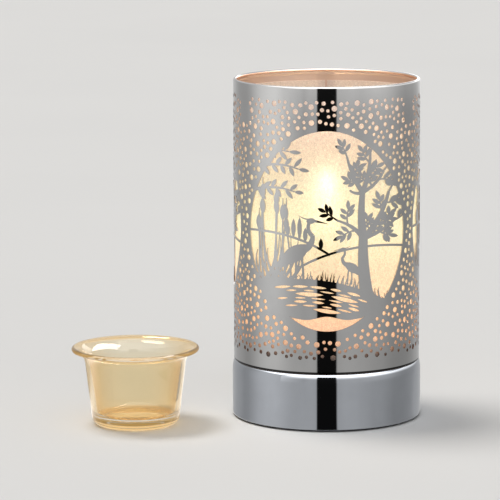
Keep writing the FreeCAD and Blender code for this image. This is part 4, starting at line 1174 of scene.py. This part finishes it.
def makePost():
    radius, bore, low, high, pitch, depth = post.values()
    root, foot = radius - depth, low + 0.3
    core = turnOutline("post_core", [
        (bore, low), (root - 0.3, low), (root, low + 0.3),
        (root, high - 0.3), (root - 0.3, high), (bore, high),
    ], 48)
    profile = (
        (root - 0.05, 0, foot), (radius, 0, foot + 0.45),
        (radius, 0, foot + 0.55), (root - 0.05, 0, foot + pitch),
    )
    thread = drawLine("post_thread", [Vector(spot) * mm for spot in profile])
    modify(thread, "SCREW", axis="Z", screw_offset=pitch * mm, iterations=round((high - low - 1) / pitch),
           steps=48, render_steps=48, use_merge_vertices=False)
    tidyFaces(thread)
    smooth(core, 40)
    smooth(thread, 25, weighted=False)
    dress(joinAll([core, thread], "post_threaded_tube"), "lamp_post")

    corner, flat, bore = nut["flats"] / math.sqrt(3), nut["flats"] / 2 - 0.1, radius + 0.05
    height, chamfer = nut["height"], nut["chamfer"] * 0.8
    bpy.ops.mesh.primitive_cylinder_add(
        vertices=6, radius=corner * mm, depth=8 * mm, location=(0, 0, height / 2 * mm))
    hexagon = settle(bpy.context.object, "nut_hexagon")
    blank = turnOutline("nut_blank", [
        (bore, 0), (flat, 0), (corner + 0.1, chamfer), (corner + 0.1, height - chamfer), (flat, height),
        (bore, height),
    ], 72)
    carve(blank, hexagon, "INTERSECT")
    smooth(blank, 25)
    nuts = []
    for number, height in enumerate(nut["heights"]):
        made = addPiece("nut", blank.data.copy())
        made.rotation_euler = (0, 0, math.radians(nut["turn"] + nut["turnEach"] * number))
        made.location = (0, 0, height * mm)
        nuts.append(made)
    bpy.data.objects.remove(blank)
    dress(joinAll(nuts, "post_hex_nuts"), "post_nuts")


makePost()


screw = {
    "shank": 1.5, "length": 6.0, "head": 2.8, "edge": 0.7, "slot": (0.8, 1.8, 6.0),
    "out": 9.6, "height": 85.6,
    "turns": {-1: (0, 0.2, math.pi), 1: (0, 0.9, 0)},    # by side, each with its slot at another angle
}


def makeHolder():
    for node in ("holder_bracket", "lamp_holder", "holder_contacts", "dish_ring"):
        soften(node)
    shank, length, head, edge, slot, out, height, turns = screw.values()
    screws = []
    for side, turn in turns.items():
        made = turnOutline("bracket_screw", [
            (0, -length), (shank, -length), (shank, 0), (head, 0), (head, edge),
            *arc((1.4, 0.5), 1.4, 10, 80, 5), (0, 1.95),
        ], 40, (0, 0, 0), "Y")
        bpy.ops.mesh.primitive_cube_add(size=1, location=(0, 1.8 * mm, 0))
        driver = bpy.context.object
        driver.scale = Vector(slot) * mm
        carve(made, settle(driver, "screw_slot"))
        made.rotation_euler = turn
        made.location = (0, side * out * mm, height * mm)
        smooth(made, 35)
        screws.append(made)
    dress(joinAll(screws, "holder_slotted_screws"), "holder_screws")


makeHolder()
print("post, holder and ring made")


# Stage, in metres: a pale floor, cards that only reflections show, and lamps
floorCloth = {
    "size": 16, "place": (0, 4, -0.02 * mm), "patches": 3,
    "pale": (0.72, 0.71, 0.695), "duller": (0.69, 0.68, 0.668), "gloss": 0.9,
}


def makeFloor():
    recipe = Recipe("paleFloor")
    tone = recipe.noise(floorCloth["patches"], 4)
    material = recipe.finish({
        "Base Color": recipe.mix(tone, opaque(floorCloth["pale"]), opaque(floorCloth["duller"])),
        "Roughness": floorCloth["gloss"],
        "Specular IOR Level": 0.0,
    })
    bpy.ops.mesh.primitive_plane_add(size=floorCloth["size"], location=floorCloth["place"])
    floor = settle(bpy.context.object, "stage_floor")
    floor.data.materials.append(material)


# Cards seen in reflections only. The surround glows in upright bands, given by degrees from the front,
# and changes from its near bands, on the floor, to its far ones, up its wall.
surround = {
    "near": (
        (-180, 0.50), (-155, 0.45), (-138, 0.43), (-126, 0.375), (-116, 0.39), (-107, 0.46), (-92, 0.595),
        (-79, 0.665), (-66, 0.65), (-55, 0.595), (-44, 0.535), (-39, 0.525), (-30, 0.54), (-18, 0.54),
        (-12.7, 0.51), (-11.9, 0.006), (12.0, 0.006), (12.8, 0.51), (23, 0.545), (36, 0.53), (47, 0.485),
        (58, 0.43), (72, 0.405), (82, 0.355), (92, 0.32), (111, 0.332), (121, 0.352), (132, 0.39),
        (145, 0.48), (180, 0.50),
    ),
    "far": (
        (-180, 0.64), (-155, 0.60), (-138, 0.49), (-126, 0.475), (-116, 0.49), (-107, 0.59), (-92, 0.885),
        (-85, 0.985), (-76, 1.05), (-66, 1.06), (-58, 0.98), (-49, 0.80), (-39, 0.645), (-28, 0.50),
        (-20, 0.565), (-12.4, 0.55), (-11.6, 0.008), (11.2, 0.008), (12.0, 0.55), (21, 0.58), (31, 0.595),
        (41, 0.57), (52, 0.615), (63, 0.645), (75, 0.625), (88, 0.545), (103, 0.435), (113, 0.39),
        (132, 0.405), (145, 0.47), (165, 0.62), (180, 0.64),
    ),
    # distance and height over which the near bands turn into the far ones
    "reach": 1.2, "rise": 0.24, "mirror": 0.025,
    # it grows brighter towards the top of its wall, except behind the dish
    "liftFrom": 0.10, "liftOver": 0.26, "lift": 4.0, "liftSide": (-56, -34),
    "stepDegrees": 3,
}
# outlines of distance from the axis and height in metres, turned between two directions
bandCards = {
    "stage_surround": {"turn": (-180, 180), "outline": ((0.052, 0.0004), (0.6, 0.0004), (0.6, 0.36))},
    "stage_dish_screen": {
        "turn": (-118, -36),
        "outline": ((0.066, 0.0004), (0.066, 0.0395), (0.0715, 0.0435), (0.087, 0.055)),
    },
}


def turnShare(degrees):
    return 0.5 + degrees / 360


def glowOnly(recipe, glow, alpha=1.0):
    return recipe.finish({
        "Base Color": opaque((0, 0, 0)),
        "Specular IOR Level": 0.0,
        "Emission Color": glow,
        "Emission Strength": 1.0,
        "Alpha": alpha,
    })


def hangCard(card, material):
    card.data.materials.append(material)
    card.visible_camera = False
    card.visible_diffuse = False
    card.visible_transmission = False
    card.visible_shadow = False
    card.visible_volume_scatter = False


# Close to the lamp a ray has turned less far from the axis than its own direction, so there the bands
# are drawn in towards the front
def makeBandCard(name, outline, turn):
    recipe = Recipe(name)
    facing = recipe.node("Mapping", values={"Vector": recipe.place(), "Rotation": (0, 0, math.pi / 2)})
    around = recipe.node("TexGradient", {"gradient_type": "RADIAL"}, {"Vector": facing}, output=1)
    out, height = recipe.outward(), recipe.axis("Z")
    share = (around - 0.5) * (out / (out - surround["mirror"])) + 0.5
    near, far = (
        recipe.ramp(greys([(turnShare(degrees), level) for degrees, level in surround[side]]), share)
        for side in ("near", "far")
    )
    farness = recipe.clamp(out / surround["reach"] + height / surround["rise"])
    above = recipe.clamp((height - surround["liftFrom"]) / surround["liftOver"])
    dark, full = (turnShare(degrees) for degrees in surround["liftSide"])
    lift = 1 + above * recipe.clamp((share - dark) / (full - dark)) * surround["lift"]
    glow = recipe.mix(1.0, recipe.mix(farness, near, far), lift, "MULTIPLY")
    first, last = (math.radians(degrees) for degrees in turn)
    card = drawLine(name, [Vector((r * math.sin(last), -r * math.cos(last), z)) for r, z in outline])
    steps = round((turn[1] - turn[0]) / surround["stepDegrees"])
    bpy.ops.mesh.spin(steps=steps, angle=last - first, center=(0, 0, 0), axis=(0, 0, 1))
    tidyFaces(card)
    hangCard(card, glowOnly(recipe, glow))


# Flat cards: two opposite corners, and the glow along an axis as shares of the way and levels.
# An upright card faces -X.
flatCards = {
    "stage_overhead": {
        "low": (-2.2, -2.6, 1.5), "high": (2.2, 1.2, 1.5), "axis": "Y",
        "glow": ((0, 2.6), (0.65, 2.6), (0.82, 1.0), (1, 0.8)),
    },
    "stage_dish_glint": {
        "low": (-0.05, -0.14, 0.36), "high": (0.10, 0.02, 0.36), "axis": "X", "glow": ((0, 3.0), (1, 4.0)),
    },
    "stage_dish_patch": {
        "low": (-0.058, -0.05, 0.05), "high": (-0.058, 0.045, 0.13), "axis": "Z",
        "glow": ((0, 9), (1, 15)), "oneSided": True,
    },
    "stage_dish_left": {
        "low": (-0.24, -0.045, 0.0006), "high": (-0.128, 0.05, 0.0006), "axis": "Y",
        "glow": ((0, 0.4), (0.426, 1.7), (0.947, 0.3)),
    },
    "stage_dish_right": {
        "low": (-0.0725, -0.045, 0.0006), "high": (-0.0725, 0.02, 0.036), "axis": "Y",
        "glow": ((0, 0.4), (0.5, 1.8), (1, 0.3)), "oneSided": True,
    },
}


# A one-sided card is clear from behind: it stands between the lamp and the dish, and only the dish
# mirrors it
def makeFlatCard(name, low, high, axis, glow, oneSided=False):
    recipe = Recipe(name)
    start, end = (corner["XYZ".index(axis)] for corner in (low, high))
    share = (recipe.axis(axis) - start) / (end - start)
    if low[2] == high[2]:
        second, fourth = (high[0], low[1], low[2]), (low[0], high[1], low[2])
    else:
        second, fourth = (low[0], high[1], low[2]), (low[0], low[1], high[2])
    card = drawLine(name, [Vector(corner) for corner in (low, second, high, fourth)])
    bpy.ops.mesh.edge_face_add()
    bpy.ops.object.mode_set(mode="OBJECT")
    alpha = 1.0 - recipe.node("NewGeometry", output="Backfacing") if oneSided else 1.0
    hangCard(card, glowOnly(recipe, recipe.ramp(greys(glow), share), alpha))


# Even light over the whole floor: the key's rays run to the right and to the front
lamps = {
    "stage_key": {"place": (-0.62, 0.30, 1.9), "spread": 24, "power": 1.75, "colour": (1.0, 0.985, 0.96)},
    "stage_fill": {"place": (0.5, -1.2, 1.2), "spread": 60, "power": 0.45, "colour": (0.95, 0.97, 1.0)},
}
sky = {"colour": (0.97, 0.985, 1.0), "light": 0.42, "seen": 0.80}


def makeLamp(name, place, spread, power, colour):
    aim = (-Vector(place)).to_track_quat("-Z", "Y").to_euler()
    bpy.ops.object.light_add(type="SUN", location=place, rotation=aim)
    lamp = bpy.context.object
    lamp.name = name
    lamp.data.angle = math.radians(spread)
    lamp.data.energy = power
    lamp.data.color = colour


# The studio's wall: pale where it is seen, mirrored or seen through glass, weaker as a source of light
def setWorld():
    recipe = Recipe("studio", "worlds")
    seen = recipe.node("LightPath", output="Is Camera Ray")
    for kind in ("Is Glossy Ray", "Is Transmission Ray"):
        seen = recipe.sum("MAXIMUM", seen, recipe.node("LightPath", output=kind))
    strength = recipe.node("Mix", values={0: seen, 2: sky["light"], 3: sky["seen"]})
    wall = recipe.node("Background", values={"Color": opaque(sky["colour"]), "Strength": strength})
    recipe.node("OutputWorld", values={"Surface": wall})
    scene.world = recipe.made


makeFloor()
for name, card in bandCards.items():
    makeBandCard(name, **card)
for name, card in flatCards.items():
    makeFlatCard(name, **card)
for name, lamp in lamps.items():
    makeLamp(name, **lamp)
setWorld()
print("stage set")
